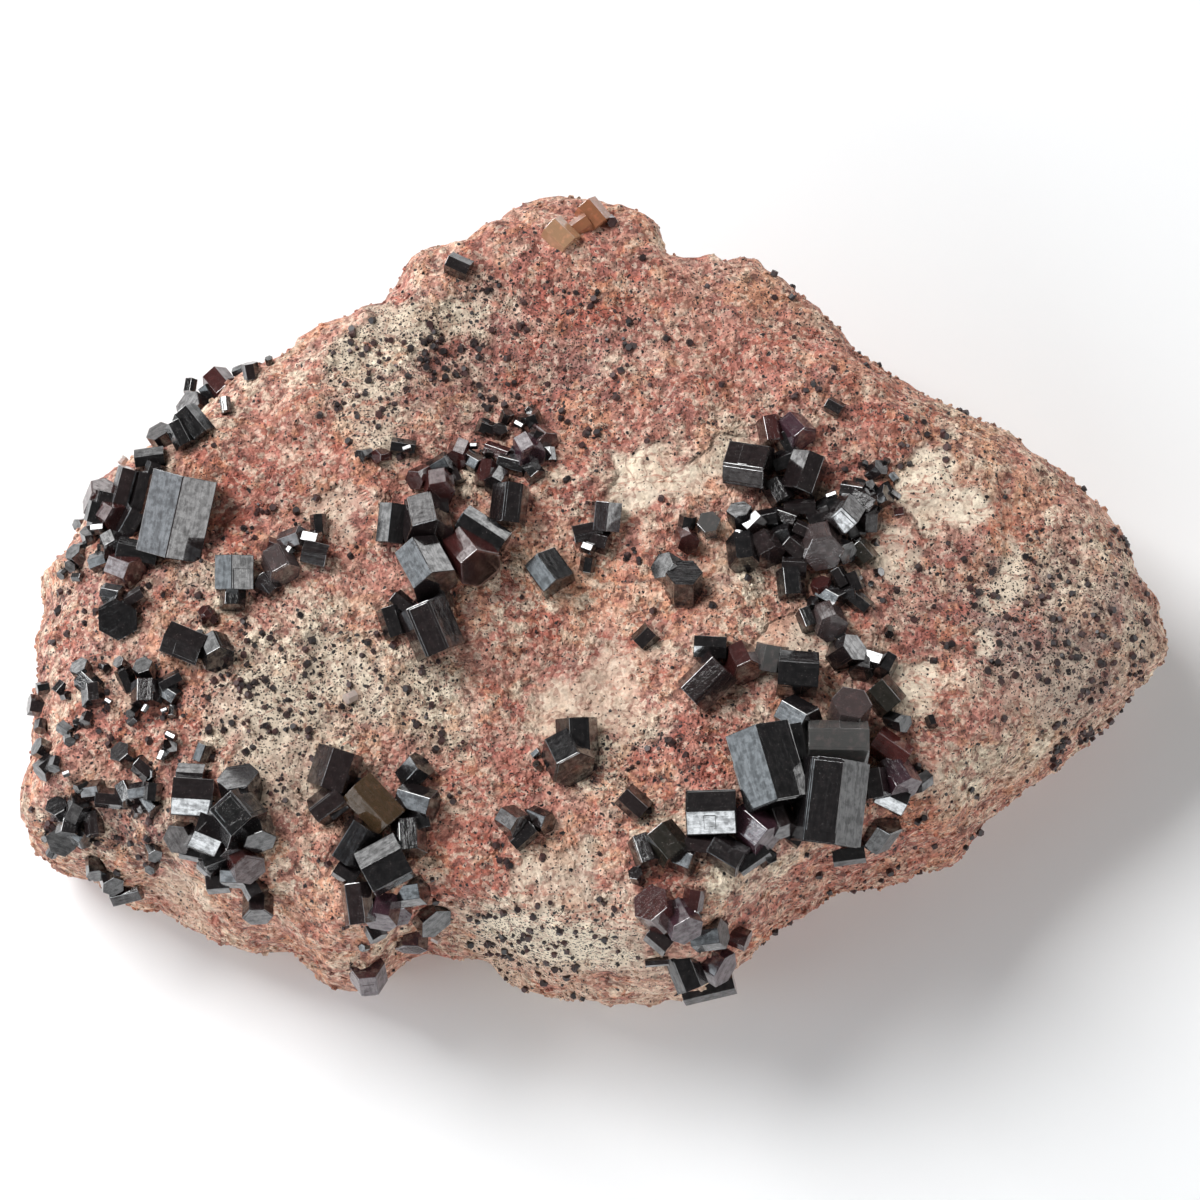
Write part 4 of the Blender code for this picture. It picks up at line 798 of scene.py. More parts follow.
class Sketch:
    """A node tree that code puts together."""

    def __init__(self, tree):
        self.tree = tree

    def node(self, kind, sockets=None, **settings):
        """A node of this kind with its settings and sockets given."""
        node = self.tree.nodes.new(kind)
        for name, value in settings.items():
            setattr(node, name, value)
        for name, value in (sockets or {}).items():
            self.feed(node.inputs[name], value)
        return node

    def feed(self, socket, value):
        """Give a socket a value, or what another socket holds."""
        if isinstance(value, Signal):
            self.tree.links.new(value.socket, socket)
        elif isinstance(value, bpy.types.NodeSocket):
            self.tree.links.new(value, socket)
        else:
            socket.default_value = value

    def signal(self, node, output):
        """An output of a node as a value for sums."""
        return Signal(self.tree, node.outputs[output])

    def blend(self, share, first, second, kind="MIX"):
        """A mix of two colours."""
        node = self.tree.nodes.new("ShaderNodeMix")
        node.data_type = "RGBA"
        node.blend_type = kind
        for place, value in ((0, share), (6, first), (7, second)):
            if isinstance(value, tuple):
                value = (*value[:3], 1.0)
            self.feed(node.inputs[place], value)
        return Signal(self.tree, node.outputs[2])

    def noise(self, place, width, detail=2.0, roughness=0.5, distortion=0.0):
        """Soft noise of this width in metres."""
        node = self.node(
            "ShaderNodeTexNoise", {
                "Vector": place, "Scale": 1.0 / width, "Detail": detail, "Roughness": roughness,
                "Distortion": distortion})
        return self.signal(node, "Fac")

    def cells(self, place, width, feature="F1"):
        """Voronoi cells of this width in metres."""
        return self.node("ShaderNodeTexVoronoi", {"Vector": place, "Scale": 1.0 / width}, feature=feature)


def new_material(name):
    """A material with its sketch and its Principled shader."""
    material = bpy.data.materials.new(name)
    material.use_nodes = True
    sketch = Sketch(material.node_tree)
    return material, sketch, material.node_tree.nodes["Principled BSDF"]


def ragged_place(sketch, place):
    """A place moved about by fine noise, which makes the edges of every grain ragged."""
    wander = sketch.node(
        "ShaderNodeTexNoise", {"Vector": place, "Scale": 1.0 / (1.1 * MM), "Detail": 2.0})
    centred = sketch.node(
        "ShaderNodeVectorMath", {0: wander.outputs["Color"], 1: (0.5, 0.5, 0.5)}, operation="SUBTRACT")
    shift = sketch.node(
        "ShaderNodeVectorMath", {0: centred.outputs["Vector"], "Scale": 0.75 * MM}, operation="SCALE")
    moved = sketch.node(
        "ShaderNodeVectorMath", {0: place, 1: shift.outputs["Vector"]}, operation="ADD")
    return moved.outputs["Vector"]


def cell_pick(sketch, cells, channel):
    """A random value for each cell, from one channel of the cells' colours."""
    return sketch.signal(sketch.node("ShaderNodeSeparateColor", {"Color": cells.outputs["Color"]}), channel)


def black_specks(sketch, ragged, fine, black_share, size):
    """Where the black specks and the finer black dust between them show."""
    specks = sketch.cells(ragged, size)
    reach = sketch.signal(specks, "Distance") + (fine - 0.5) * 0.35
    spot = (cell_pick(sketch, specks, 2) * 0.22 + 0.16 - reach).step(0.0, 0.06)
    black = cell_pick(sketch, specks, 1).below(black_share) * spot
    dust = sketch.cells(ragged, size * 0.42)
    dusty = cell_pick(sketch, dust, 0).below(black_share * 0.9 + 0.05)
    return black.join("MAXIMUM", black, dusty * sketch.signal(dust, "Distance").below(0.36) * 0.92)


def stone_material(settings):
    """Granular stone: patches of mineral, fine grains, black specks, painted shade and light on its relief,
    and a rough surface.
    """
    material, sketch, shader = new_material("stone")
    place = sketch.node("ShaderNodeTexCoord").outputs["Object"]
    patch = sketch.signal(sketch.node("ShaderNodeAttribute", attribute_name="patch"), "Color")
    black_share = sketch.signal(sketch.node("ShaderNodeAttribute", attribute_name="black"), "Fac")
    calm = sketch.signal(sketch.node("ShaderNodeAttribute", attribute_name="calm"), "Fac")
    ragged = ragged_place(sketch, place)

    open_share = 1.0 - calm * 0.90
    tones = sketch.node("ShaderNodeSeparateColor", {"Color": patch.socket})
    paleness = sketch.signal(tones, 1).step(0.08, 0.50)
    blotch = sketch.noise(place, 10.0 * MM, detail=3.0, roughness=0.6, distortion=0.8)
    stain = sketch.noise(ragged, 5.0 * MM, detail=3.0, roughness=0.60, distortion=0.8)
    mottle = sketch.noise(ragged, 3.2 * MM, detail=3.0, roughness=0.60)
    flake = sketch.noise(ragged, 1.55 * MM, detail=3.0, roughness=0.60)
    crumble = sketch.noise(place, 0.85 * MM, detail=3.0, roughness=0.62)
    fine = sketch.noise(place, 0.36 * MM, detail=2.0, roughness=0.6)
    colour = sketch.blend(blotch.step(0.52, 0.60) * 0.40 * open_share, patch, MINERALS["brick"])
    colour = sketch.blend(stain.step(0.53, 0.60) * 0.42 * open_share, colour, MINERALS["orange"])
    colour = sketch.blend((1.0 - stain).step(0.54, 0.60) * 0.45 * open_share, colour, MINERALS["rose"])
    zone = sketch.noise(ragged, 7.5 * MM, detail=3.0, roughness=0.6, distortion=0.6).step(0.44, 0.58)
    pale_share = (paleness * 0.74 + 0.20) * (zone * 0.78 + 0.26) * open_share
    colour = sketch.blend(mottle.step(0.53, 0.56) * pale_share, colour, MINERALS["cream"])
    colour = sketch.blend((1.0 - mottle).step(0.57, 0.61) * 0.50 * open_share, colour, MINERALS["plum"])
    colour = sketch.blend(flake.step(0.52, 0.55) * pale_share, colour, MINERALS["pale"])
    colour = sketch.blend((1.0 - flake).step(0.585, 0.61) * 0.72 * open_share, colour, MINERALS["deep"])

    flow = sketch.node("ShaderNodeMapping", {
        "Vector": ragged, "Rotation": (0.0, 0.0, VEIN_HEADING), "Scale": (0.22, 1.0, 1.0)})
    vein = sketch.noise(flow.outputs["Vector"], 3.4 * MM, detail=4.0, roughness=0.6, distortion=0.7)
    vein_line = 1.0 - vein.join("ABSOLUTE", vein - 0.5).step(0.0, 0.028)
    few = blotch.step(0.44, 0.56)
    colour = sketch.blend(vein_line * few * 0.60, colour, MINERALS["vein"])
    cracks = sketch.cells(ragged, 4.2 * MM, "DISTANCE_TO_EDGE")
    crack = (1.0 - sketch.signal(cracks, "Distance").step(0.0, 0.035)) * mottle.step(0.42, 0.50)
    colour = sketch.blend(crack * (calm * 0.55 + 0.20), colour, MINERALS["crack"])

    grains = sketch.cells(ragged, settings.grain)
    grain_pick = cell_pick(sketch, grains, 0)
    pale_grain = grain_pick.step(0.80, 0.84)
    red_grain = (1.0 - grain_pick).step(0.84, 0.88)
    colour = sketch.blend(pale_grain * 0.40, colour, MINERALS["pale_grain"])
    colour = sketch.blend(red_grain * 0.40, colour, MINERALS["red_grain"])
    # Painted shade and light: the colour is made darker where the crumble and fine noises, which also lower
    # the bump, are low, and lighter where they are high; calm patches, with less relief, are lightened
    # instead
    painted_relief_shade = sketch.blend(
        (crumble * 0.65 + fine * 0.35).step(0.37, 0.60), (0.60, 0.56, 0.53), (1.32, 1.31, 1.29))
    painted_relief_shade = sketch.blend(calm * 0.6, painted_relief_shade, (1.15, 1.14, 1.13))
    colour = sketch.blend(1.0, colour, painted_relief_shade, "MULTIPLY")

    black = black_specks(sketch, ragged, fine, black_share, settings.speck)
    colour = sketch.blend(black, colour, tuple(settings.speck_colour))
    sketch.feed(shader.inputs["Base Color"], colour)
    sketch.feed(shader.inputs["Roughness"], 0.88 - black * 0.35 - pale_grain * 0.15)

    relief = mottle * 1.6 + flake * 1.5 + crumble * 0.9 + fine * 0.3
    relief = (relief - sketch.signal(grains, "Distance") * 0.4) * (1.0 - calm * 0.7)
    bump = sketch.node("ShaderNodeBump", {"Strength": 1.0, "Distance": 0.50 * MM, "Height": relief})
    sketch.feed(shader.inputs["Normal"], bump.outputs["Normal"])
    shader.inputs["Specular IOR Level"].default_value = 0.35
    return material


def crystal_material(settings):
    """Adamantine crystal: near-black body, streaks along the axis, fine pits and a bright surface."""
    material, sketch, shader = new_material("crystal")
    tint = sketch.signal(sketch.node("ShaderNodeAttribute", attribute_name="tint"), "Color")
    flat = sketch.node("ShaderNodeUVMap", uv_map="face")
    stretched = sketch.node("ShaderNodeMapping", {"Vector": flat.outputs["UV"], "Scale": (2.6, 0.45, 1.0)})
    streaks = sketch.noise(stretched.outputs["Vector"], 1.0, detail=5.0, roughness=0.62, distortion=0.6)
    waves = sketch.noise(flat.outputs["UV"], 1.9, detail=3.0, roughness=0.5, distortion=1.1)
    pits = sketch.signal(sketch.cells(flat.outputs["UV"], 0.42), "Distance")
    cloud = sketch.noise(flat.outputs["UV"], 0.9, detail=4.0, roughness=0.6)

    cloudy = sketch.blend(1.0, tint, CLOUD_GAIN, "MULTIPLY")
    colour = sketch.blend(cloud.step(0.45, 0.75) * 0.55, tint, cloudy)
    specks = sketch.noise(flat.outputs["UV"], 0.16, detail=2.0, roughness=0.6)
    dust = streaks.step(0.60, 0.80) * 0.05 + specks.step(0.64, 0.70) * cloud.step(0.42, 0.60) * 0.45
    colour = sketch.blend(dust, colour, DUST_COLOUR)
    sketch.feed(shader.inputs["Base Color"], colour)
    sketch.feed(
        shader.inputs["Roughness"],
        streaks.step(0.40, 0.72) * 0.12 + cloud.step(0.5, 0.8) * 0.08 + settings.roughness)
    relief = streaks * 0.8 + waves * 1.3 - (0.30 - pits).clamped() * 0.6
    bump = sketch.node("ShaderNodeBump", {"Strength": 0.40, "Distance": 0.11 * MM, "Height": relief})
    sketch.feed(shader.inputs["Normal"], bump.outputs["Normal"])
    shine = streaks.step(0.36, 0.64) * 0.38 + cloud.step(0.40, 0.58) * 0.45 + 0.17
    sketch.feed(shader.inputs["Coat Weight"], shine)
    shader.inputs["Coat Roughness"].default_value = 0.07
    shader.inputs["Coat IOR"].default_value = 2.1
    shader.inputs["IOR"].default_value = 1.5
    return material


def grain_material():
    """The black grains: dark, fairly dull."""
    material, sketch, shader = new_material("black_grain")
    place = sketch.node("ShaderNodeTexCoord").outputs["Object"]
    tone = sketch.noise(place, 1.5 * MM, detail=2.0)
    colour = sketch.blend(tone.step(0.40, 0.70), *GRAIN_COLOURS)
    sketch.feed(shader.inputs["Base Color"], colour)
    sketch.feed(shader.inputs["Roughness"], tone * 0.4 + 0.22)
    return material


# The stone

def add_object(name, mesh):
    """A new object of this mesh in the scene."""
    thing = bpy.data.objects.new(name, mesh)
    bpy.context.scene.collection.objects.link(thing)
    return thing


def worked_point(direction):
    """The slab's point in this direction, with fine relief that fades to nothing on the underside."""
    point = slab_point(direction)
    if direction.z <= FOOT_LIMIT:
        return point
    angle = math.atan2(direction.y, direction.x)
    outward = Vector((math.cos(angle), math.sin(angle), 0))
    if direction.z < TOP_LIMIT:
        fall = (TOP_LIMIT - direction.z) / (TOP_LIMIT - FOOT_LIMIT)
        steep = 1.0
        grown = 1.0 - fall ** 4
    else:
        inset = (1 - math.hypot(point.x, point.y) / rim_radius(angle)) / shoulder_share(angle)
        steep = 1 - min(inset * 1.6, 1)
        grown = 1.0
    lean = (outward * steep + Vector((0, 0, 1 - steep))).normalized()
    rise = 0.0
    for length, height in FINE_RELIEF:
        rise += height * noise.noise(point / length + Vector((5.3, 1.7, 9.1)))
    for length, height in EDGE_CRAGS:
        crag = noise.noise(point / length + Vector((2.2, 8.4, 0.6)))
        rise += steep * height * (crag - abs(crag))
    return point + lean * rise * grown


def shaped_stone(cells):
    """The slab's mesh: a cube rounded to a ball and shaped to the slab."""
    builder = bmesh.new()
    bmesh.ops.create_cube(builder, size=2)
    bmesh.ops.subdivide_edges(builder, edges=builder.edges, cuts=cells - 1, use_grid_fill=True)
    low, high = CAD_BOX
    for vertex in builder.verts:
        even = Vector([math.tan(value * math.pi / 4) for value in vertex.co])
        point = worked_point(even.normalized()) * MM
        vertex.co = [min(max(point[axis], low[axis]), high[axis]) for axis in range(3)]
    mesh = bpy.data.meshes.new("matrix_stone")
    builder.to_mesh(mesh)
    builder.free()
    for face in mesh.polygons:
        face.use_smooth = True
    return mesh


def smooth_step(values):
    """Values held between 0 and 1 and eased."""
    held = numpy.clip(values, 0, 1)
    return held * held * (3 - 2 * held)


def paint_patches(mesh, base_colour):
    """Store each patch's mineral colour and the share of black specks on the mesh."""
    count = len(mesh.vertices)
    points = numpy.empty(count * 3)
    mesh.vertices.foreach_get("co", points)
    points = points.reshape(-1, 3) / MM
    across, up = to_face(points)
    noise.seed_set(PATCH_SEED)
    warp = numpy.array([
        sum((share * noise.noise_vector(Vector(point) / length) for length, share in PATCH_WAVES), Vector())
        for point in points])
    across += warp[:, 0] * PATCH_WANDER
    up += warp[:, 1] * PATCH_WANDER
    colour = numpy.tile(numpy.array(base_colour), (count, 1))
    black = numpy.full(count, BLACK_SHARE) + BLACK_SPREAD * warp[:, 2]
    calm = numpy.zeros(count)
    for centre_across, centre_up, wide, tall, turn, mineral, strength, specks in PATCHES:
        cosine = math.cos(math.radians(turn))
        sine = math.sin(math.radians(turn))
        along = ((across - centre_across) * cosine + (up - centre_up) * sine) / wide
        aside = ((up - centre_up) * cosine - (across - centre_across) * sine) / tall
        edge = CRISP_EDGE if mineral in CRISP_MINERALS else SOFT_EDGE
        reach = smooth_step((1.25 - numpy.hypot(along, aside)) / edge)
        colour += (numpy.array(MINERALS[mineral]) - colour) * (reach * strength)[:, None]
        black += specks * reach
        calm += reach * CALM.get(mineral, CLEAN_CALM if specks < 0 else 0.0)
    walls = smooth_step((24.0 - points[:, 2]) / 8.0)
    colour += (numpy.array(MINERALS["salmon"]) * 0.8 - colour) * (walls * 0.35)[:, None]
    opaque = numpy.ones((count, 1))
    patch = mesh.color_attributes.new("patch", "FLOAT_COLOR", "POINT")
    patch.data.foreach_set("color", numpy.hstack((colour, opaque)).ravel())
    for name, values in (("black", numpy.clip(black, 0.02, 0.85)), ("calm", numpy.clip(calm, 0, 1))):
        share = mesh.attributes.new(name, "FLOAT", "POINT")
        share.data.foreach_set("value", values)


class MINERAL_OT_stone(bpy.types.Operator):
    """Build the slab of stone that carries the crystals"""
    bl_idname = "mineral.stone"
    bl_label = "Stone"

    def execute(self, context):
        settings = context.scene.stone_settings
        mesh = shaped_stone(settings.cells)
        paint_patches(mesh, settings.base_colour)
        mesh.materials.append(stone_material(settings))
        stone = add_object("matrix_stone", mesh)
        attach(stone, "root")
        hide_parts("matrix")
        return {"FINISHED"}


# The crystals

def crystal_place(row):
    """The place and turn of a crystal: its long axis along Z, its widest face toward the viewer."""
    across, up, _, _, heading, toward, roll, lift = row
    low = 0.0
    high = PLATEAU_HEIGHT + HEADROOM
    for _ in range(SIGHT_STEPS):
        height = (low + high) / 2
        place = sight_point(across, up, height)
        if top_height(place.x, place.y) + lift > height:
            low = height
        else:
            high = height
    heading = math.radians(heading)
    toward = math.radians(toward)
    roll = math.radians(roll)
    in_face = math.cos(heading) * ACROSS + math.sin(heading) * UP
    lights = [
        light for light, places in CATCHERS.items()
        if any(math.hypot(across - near[0], up - near[1]) < CATCHER_REACH for near in places)]
    if lights:
        toward, roll = catching_turn(place, in_face, lights[0])
    else:
        toward, roll = quiet_turn(place, in_face, toward, roll)
    axis, face = axis_and_face(in_face, toward, roll)
    side = axis.cross(face)
    turn = Matrix((face, side, axis)).transposed().to_4x4()
    return Matrix.Translation(place) @ turn


def lamp_way(azimuth, elevation):
    """The direction to a lamp from the object."""
    azimuth = math.radians(azimuth)
    elevation = math.radians(elevation)
    return Vector((
        math.cos(elevation) * math.cos(azimuth), math.cos(elevation) * math.sin(azimuth),
        math.sin(elevation)))


LAMPS = {
    name: VIEW_CENTRE + lamp_way(azimuth, elevation) * SOFTBOX_DISTANCE / MM
    for name, azimuth, elevation, *_ in SOFTBOXES}


def catching_turn(place, in_face, light):
    """The tilt and roll, in radians, that make a crystal's widest face mirror a lamp to the viewer."""
    mirror = ((EYE - place).normalized() + (LAMPS[light] - place).normalized()).normalized()
    toward = math.atan2(-in_face.dot(mirror), TOWARD.dot(mirror))
    axis, face = axis_and_face(in_face, toward, 0.0)
    return toward, math.atan2(axis.dot(face.cross(mirror)), face.dot(mirror))


def axis_and_face(in_face, toward, roll):
    """A crystal's long axis and the direction that its widest face looks in."""
    axis = math.cos(toward) * in_face + math.sin(toward) * TOWARD
    face = (TOWARD - TOWARD.dot(axis) * axis).normalized()
    return axis, Matrix.Rotation(roll, 3, axis) @ face


def glints(place, axis, face):
    """How many of a crystal's faces mirror one of the bright lamps to the viewer."""
    view = (EYE - place).normalized()
    normals = [Matrix.Rotation(math.radians(60 * side), 3, axis) @ face for side in range(6)]
    count = 0
    for normal in (*normals, axis, -axis):
        lean = normal.dot(view)
        mirrored = 2 * lean * normal - view
        for name, spread in GLINT_SPREADS.items():
            count += lean > 0.15 and mirrored.angle(LAMPS[name] - place) < math.radians(spread)
    return count


def quiet_turn(place, in_face, toward, roll):
    """The tilt and roll nearest to these at which no large face mirrors a bright lamp."""
    turns = [(math.radians(tilt), math.radians(spin)) for tilt in NUDGES for spin in NUDGES]
    turns.sort(key=lambda turn: abs(turn[0]) + abs(turn[1]))
    fewest = min(
        turns, key=lambda turn: glints(place, *axis_and_face(in_face, toward + turn[0], roll + turn[1])))
    return toward + fewest[0], roll + fewest[1]


def six_corners(sides):
    """The corners of a six-sided outline whose sides stand at these distances from the middle."""
    corners = []
    for index in range(6):
        first = math.radians(60 * index)
        second = math.radians(60 * (index + 1))
        near, far = sides[index], sides[(index + 1) % 6]
        spread = math.sin(second - first)
        corners.append((
            (near * math.sin(second) - far * math.sin(first)) / spread,
            (far * math.cos(first) - near * math.cos(second)) / spread))
    return corners


def add_prism(builder, sides, low, high):
    """A six-sided prism between two heights."""
    corners = six_corners(sides)
    rings = [[builder.verts.new((x, y, z)) for x, y in corners] for z in (low, high)]
    faces = [builder.faces.new(rings[1]), builder.faces.new(rings[0][::-1])]
    for index in range(6):
        after = (index + 1) % 6
        faces.append(builder.faces.new((rings[0][index], rings[0][after], rings[1][after], rings[1][index])))
    return faces


def add_growth_steps(builder, faces, radius, chance):
    """Low plates and shallow hollows on some of a crystal's faces."""
    for face in faces:
        if not face.is_valid or chance.random() > 0.62:
            continue
        border = radius * chance.uniform(0.10, 0.34)
        depth = radius * chance.choice((-0.050, -0.032, 0.026, 0.040))
        bmesh.ops.inset_individual(builder, faces=[face], thickness=border, depth=depth)
        normal = face.normal
        slide = Vector([chance.uniform(-1, 1) for _ in range(3)])
        slide -= slide.dot(normal) * normal
        slide = slide.normalized() * border * chance.uniform(0.2, 0.7)
        for vertex in face.verts:
            vertex.co += slide


def crystal_shells(radius, length, settings, chance):
    """The prisms that make a crystal: its body, and slimmer ones that stand a little proud of it."""
    inradius = radius * math.cos(math.radians(30))
    sides = [inradius * (1 - settings.irregular * chance.random() ** 2) for _ in range(6)]
    sides[0] = inradius
    shells = [(sides, -length / 2, length / 2)]
    if radius > SHELLED_RADIUS:
        for _ in range(1 if radius < 1.8 else 2 if radius < 2.6 else 4):
            slimmer = [side * chance.uniform(0.80, 0.995) for side in sides]
            proud = chance.choice(range(6))
            slimmer[proud] = sides[proud] + radius * chance.uniform(0.004, 0.020)
            low = -length / 2 + length * chance.choice((-0.012, 0.03, 0.10, 0.35))
            high = length / 2 + length * chance.choice((0.012, -0.03, -0.12, -0.40))
            shells.append((slimmer, low, high))
    return shells


def map_faces(builder, tint, chance):
    """Store a crystal's tint, and a map of its own for each face, in millimetres."""
    colours = builder.loops.layers.float_color.new("tint")
    face_map = builder.loops.layers.uv.new("face")
    shift = Vector((chance.uniform(0, 40), chance.uniform(0, 40)))
    for face in builder.faces:
        normal = face.normal
        if abs(normal.z) > 0.7:
            first, second = Vector((1, 0, 0)), Vector((0, 1, 0))
        else:
            first, second = Vector((-normal.y, normal.x, 0)).normalized(), Vector((0, 0, 1))
        turned = Vector((round(math.atan2(normal.y, normal.x) * 3) * 7.3, round(normal.z) * 11.1))
        for loop in face.loops:
            place = Vector((loop.vert.co.dot(first), loop.vert.co.dot(second)))
            loop[face_map].uv = place + shift + turned
            loop[colours] = (*tint, 1)


def crystal_builder(row, tint, settings, chance):
    """One crystal in its place, in millimetres, with its tint and its face map."""
    radius, length = row[2], row[3]
    builder = bmesh.new()
    for sides, low, high in crystal_shells(radius, length, settings, chance):
        faces = add_prism(builder, sides, low, high)
        edges = list({edge for face in faces for edge in face.edges})
        bevelled = bmesh.ops.bevel(
            builder, geom=edges, offset=settings.edge / MM * (0.6 + 0.25 * radius), segments=2,
            profile=0.6, affect="EDGES")
        wide = [face for face in set(faces) | set(bevelled["faces"])
                if face.is_valid and face.calc_area() > 0.25 * radius * min(radius, length)]
        wide.sort(key=lambda face: tuple(round(value, 4) for value in face.calc_center_median()))
        if radius > STEPPED_RADIUS:
            builder.normal_update()
            add_growth_steps(builder, wide, radius, chance)
    builder.normal_update()
    map_faces(builder, tint, chance)
    bmesh.ops.transform(builder, matrix=crystal_place(row), verts=builder.verts)
    return builder


def tint_of(row, chance):
    """The colour of a crystal, named by its place or else one of the dark ones."""
    for name, places in TINTS.items():
        for across, up in places:
            if math.hypot(row[0] - across, row[1] - up) < TINT_REACH:
                return TINT_COLOURS[name]
    share = chance.random() ** 2
    return tuple(
        dark + (brown - dark) * share for dark, brown in zip(TINT_COLOURS["dark"], TINT_COLOURS["brown"]))


def crystal_mesh(name, rows, settings, seed):
    """A mesh of several crystals."""
    chance = random.Random(seed)
    whole = bmesh.new()
    whole.loops.layers.float_color.new("tint")
    whole.loops.layers.uv.new("face")
    for row in rows:
        single = crystal_builder(row, tint_of(row, chance), settings, chance)
        carrier = bpy.data.meshes.new("carrier")
        single.to_mesh(carrier)
        single.free()
        whole.from_mesh(carrier)
        bpy.data.meshes.remove(carrier)
    bmesh.ops.scale(whole, vec=(MM, MM, MM), verts=whole.verts)
    mesh = bpy.data.meshes.new(name)
    whole.to_mesh(mesh)
    whole.free()
    return mesh


def small_rows():
    """Full rows for the crystals that are too small for the solids."""
    chance = random.Random(41)
    rows = []
    for across, up, radius, *rest in SMALL_CRYSTALS:
        length = rest[0] if rest else radius * chance.uniform(1.6, 2.2)
        heading = rest[1] if rest else chance.uniform(-180, 180)
        toward = 8 if rest else chance.uniform(10, 60)
        rows.append((across, up, radius, length, heading, toward, chance.uniform(-25, 25), radius * 0.45))
    for across, up, radius, length, heading in GLINTS:
        rows.append((across, up, radius, length, heading, 0, 0, GLINT_LIFT))
    return rows


def shared_crystal_material(settings):
    """The crystals' one material, made when it is first asked for."""
    return bpy.data.materials.get("crystal") or crystal_material(settings)


class MINERAL_OT_crystals(bpy.types.Operator):
    """Build each cluster of dark crystals in place of its plain solid"""
    bl_idname = "mineral.crystals"
    bl_label = "Crystal clusters"

    def execute(self, context):
        settings = context.scene.crystal_settings
        material = shared_crystal_material(settings)
        for seed, (name, rows) in enumerate(CRYSTAL_GROUPS.items()):
            mesh = crystal_mesh(name + "_faces", rows, settings, seed)
            mesh.materials.append(material)
            cluster = add_object(name + "_faces", mesh)
            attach(cluster, "root")
            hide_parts(name)
        return {"FINISHED"}


class MINERAL_OT_small_crystals(bpy.types.Operator):
    """Build the small crystals that stand alone on the stone"""
    bl_idname = "mineral.small_crystals"
    bl_label = "Small crystals"

    def execute(self, context):
        settings = context.scene.crystal_settings
        mesh = crystal_mesh("small_crystals", list(FAST_CRYSTALS) + small_rows(), settings, 900)
        mesh.materials.append(shared_crystal_material(settings))
        crystals = add_object("small_crystals", mesh)
        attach(crystals, "root")
        return {"FINISHED"}


# Scattered relief, by Geometry Nodes

def scatter_tree(name, shape_kind, shape_sockets):
    """A Geometry Nodes tree that scatters a small shape over a mesh and keeps only the shapes."""
    tree = bpy.data.node_groups.new(name, "GeometryNodeTree")
    face = tree.interface
    face.new_socket("Geometry", in_out="INPUT", socket_type="NodeSocketGeometry")
    face.new_socket("Geometry", in_out="OUTPUT", socket_type="NodeSocketGeometry")
    for label, kind, value in (
            ("Size", "NodeSocketFloat", 0.4 * MM), ("Spacing", "NodeSocketFloat", 1e5),
            ("Flatness", "NodeSocketFloat", 0.6), ("Seed", "NodeSocketInt", 1),
            ("Material", "NodeSocketMaterial", None)):
        socket = face.new_socket(label, in_out="INPUT", socket_type=kind)
        if value is not None:
            socket.default_value = value
    sketch = Sketch(tree)
    given = sketch.node("NodeGroupInput").outputs
    share = sketch.node("GeometryNodeInputNamedAttribute", {"Name": "scatter"}, data_type="FLOAT")
    thick = sketch.node("ShaderNodeMath", {0: share.outputs["Attribute"], 1: given["Spacing"]},
                        operation="MULTIPLY")
    points = sketch.node(
        "GeometryNodeDistributePointsOnFaces",
        {"Mesh": given["Geometry"], "Density": thick.outputs[0], "Seed": given["Seed"]},
        distribute_method="RANDOM")
    turn = sketch.node(
        "FunctionNodeRandomValue", {"Max": (0.9, 0.9, math.tau), "Min": (-0.9, -0.9, 0.0), "Seed": 3},
        data_type="FLOAT_VECTOR")
    lie = sketch.node(
        "FunctionNodeRotateRotation",
        {"Rotation": points.outputs["Rotation"], "Rotate By": turn.outputs["Value"]},
        rotation_space="LOCAL")
    wide = sketch.node(
        "FunctionNodeRandomValue", {2: 0.45, 3: 1.35, "Seed": 5}, data_type="FLOAT")
    sized = sketch.node("ShaderNodeMath", {0: wide.outputs[1], 1: given["Size"]}, operation="MULTIPLY")
    tall = sketch.node("ShaderNodeMath", {0: sized.outputs[0], 1: given["Flatness"]}, operation="MULTIPLY")
    scale = sketch.node(
        "ShaderNodeCombineXYZ", {"X": sized.outputs[0], "Y": sized.outputs[0], "Z": tall.outputs[0]})
    shape = sketch.node(shape_kind, shape_sockets)
    placed = sketch.node(
        "GeometryNodeInstanceOnPoints",
        {"Points": points.outputs["Points"], "Instance": shape.outputs["Mesh"],
         "Rotation": lie.outputs["Rotation"], "Scale": scale.outputs["Vector"]})
    real = sketch.node("GeometryNodeRealizeInstances", {"Geometry": placed.outputs["Instances"]})
    finished = sketch.node(
        "GeometryNodeSetMaterial", {"Geometry": real.outputs["Geometry"], "Material": given["Material"]})
    sketch.node("NodeGroupOutput", {"Geometry": finished.outputs["Geometry"]})
    return tree


def scatter(name, tree, mesh, values):
    """The shapes that a scatter tree makes over a mesh, as a plain object."""
    carrier = add_object(name + "_carrier", mesh)
    modifier = carrier.modifiers.new("Scatter", "NODES")
    modifier.node_group = tree
    for item in tree.interface.items_tree:
        if item.in_out == "INPUT" and item.name in values:
            modifier[item.identifier] = values[item.name]
    evaluated = carrier.evaluated_get(bpy.context.evaluated_depsgraph_get())
    result = bpy.data.meshes.new_from_object(evaluated)
    carrier.modifiers.clear()
    bpy.data.objects.remove(carrier, do_unlink=True)
    result.name = name
    return add_object(name, result)


def scatter_surface(stone, weigh):
    """A copy of the stone's mesh with a scatter share on every point."""
    mesh = stone.data.copy()
    count = len(mesh.vertices)
    points = numpy.empty(count * 3)
    mesh.vertices.foreach_get("co", points)
    points = points.reshape(-1, 3) / MM
    black = numpy.empty(count)
    mesh.attributes["black"].data.foreach_get("value", black)
    share = mesh.attributes.new("scatter", "FLOAT", "POINT")
    share.data.foreach_set("value", numpy.clip(weigh(points, black), 0, 1))
    return mesh


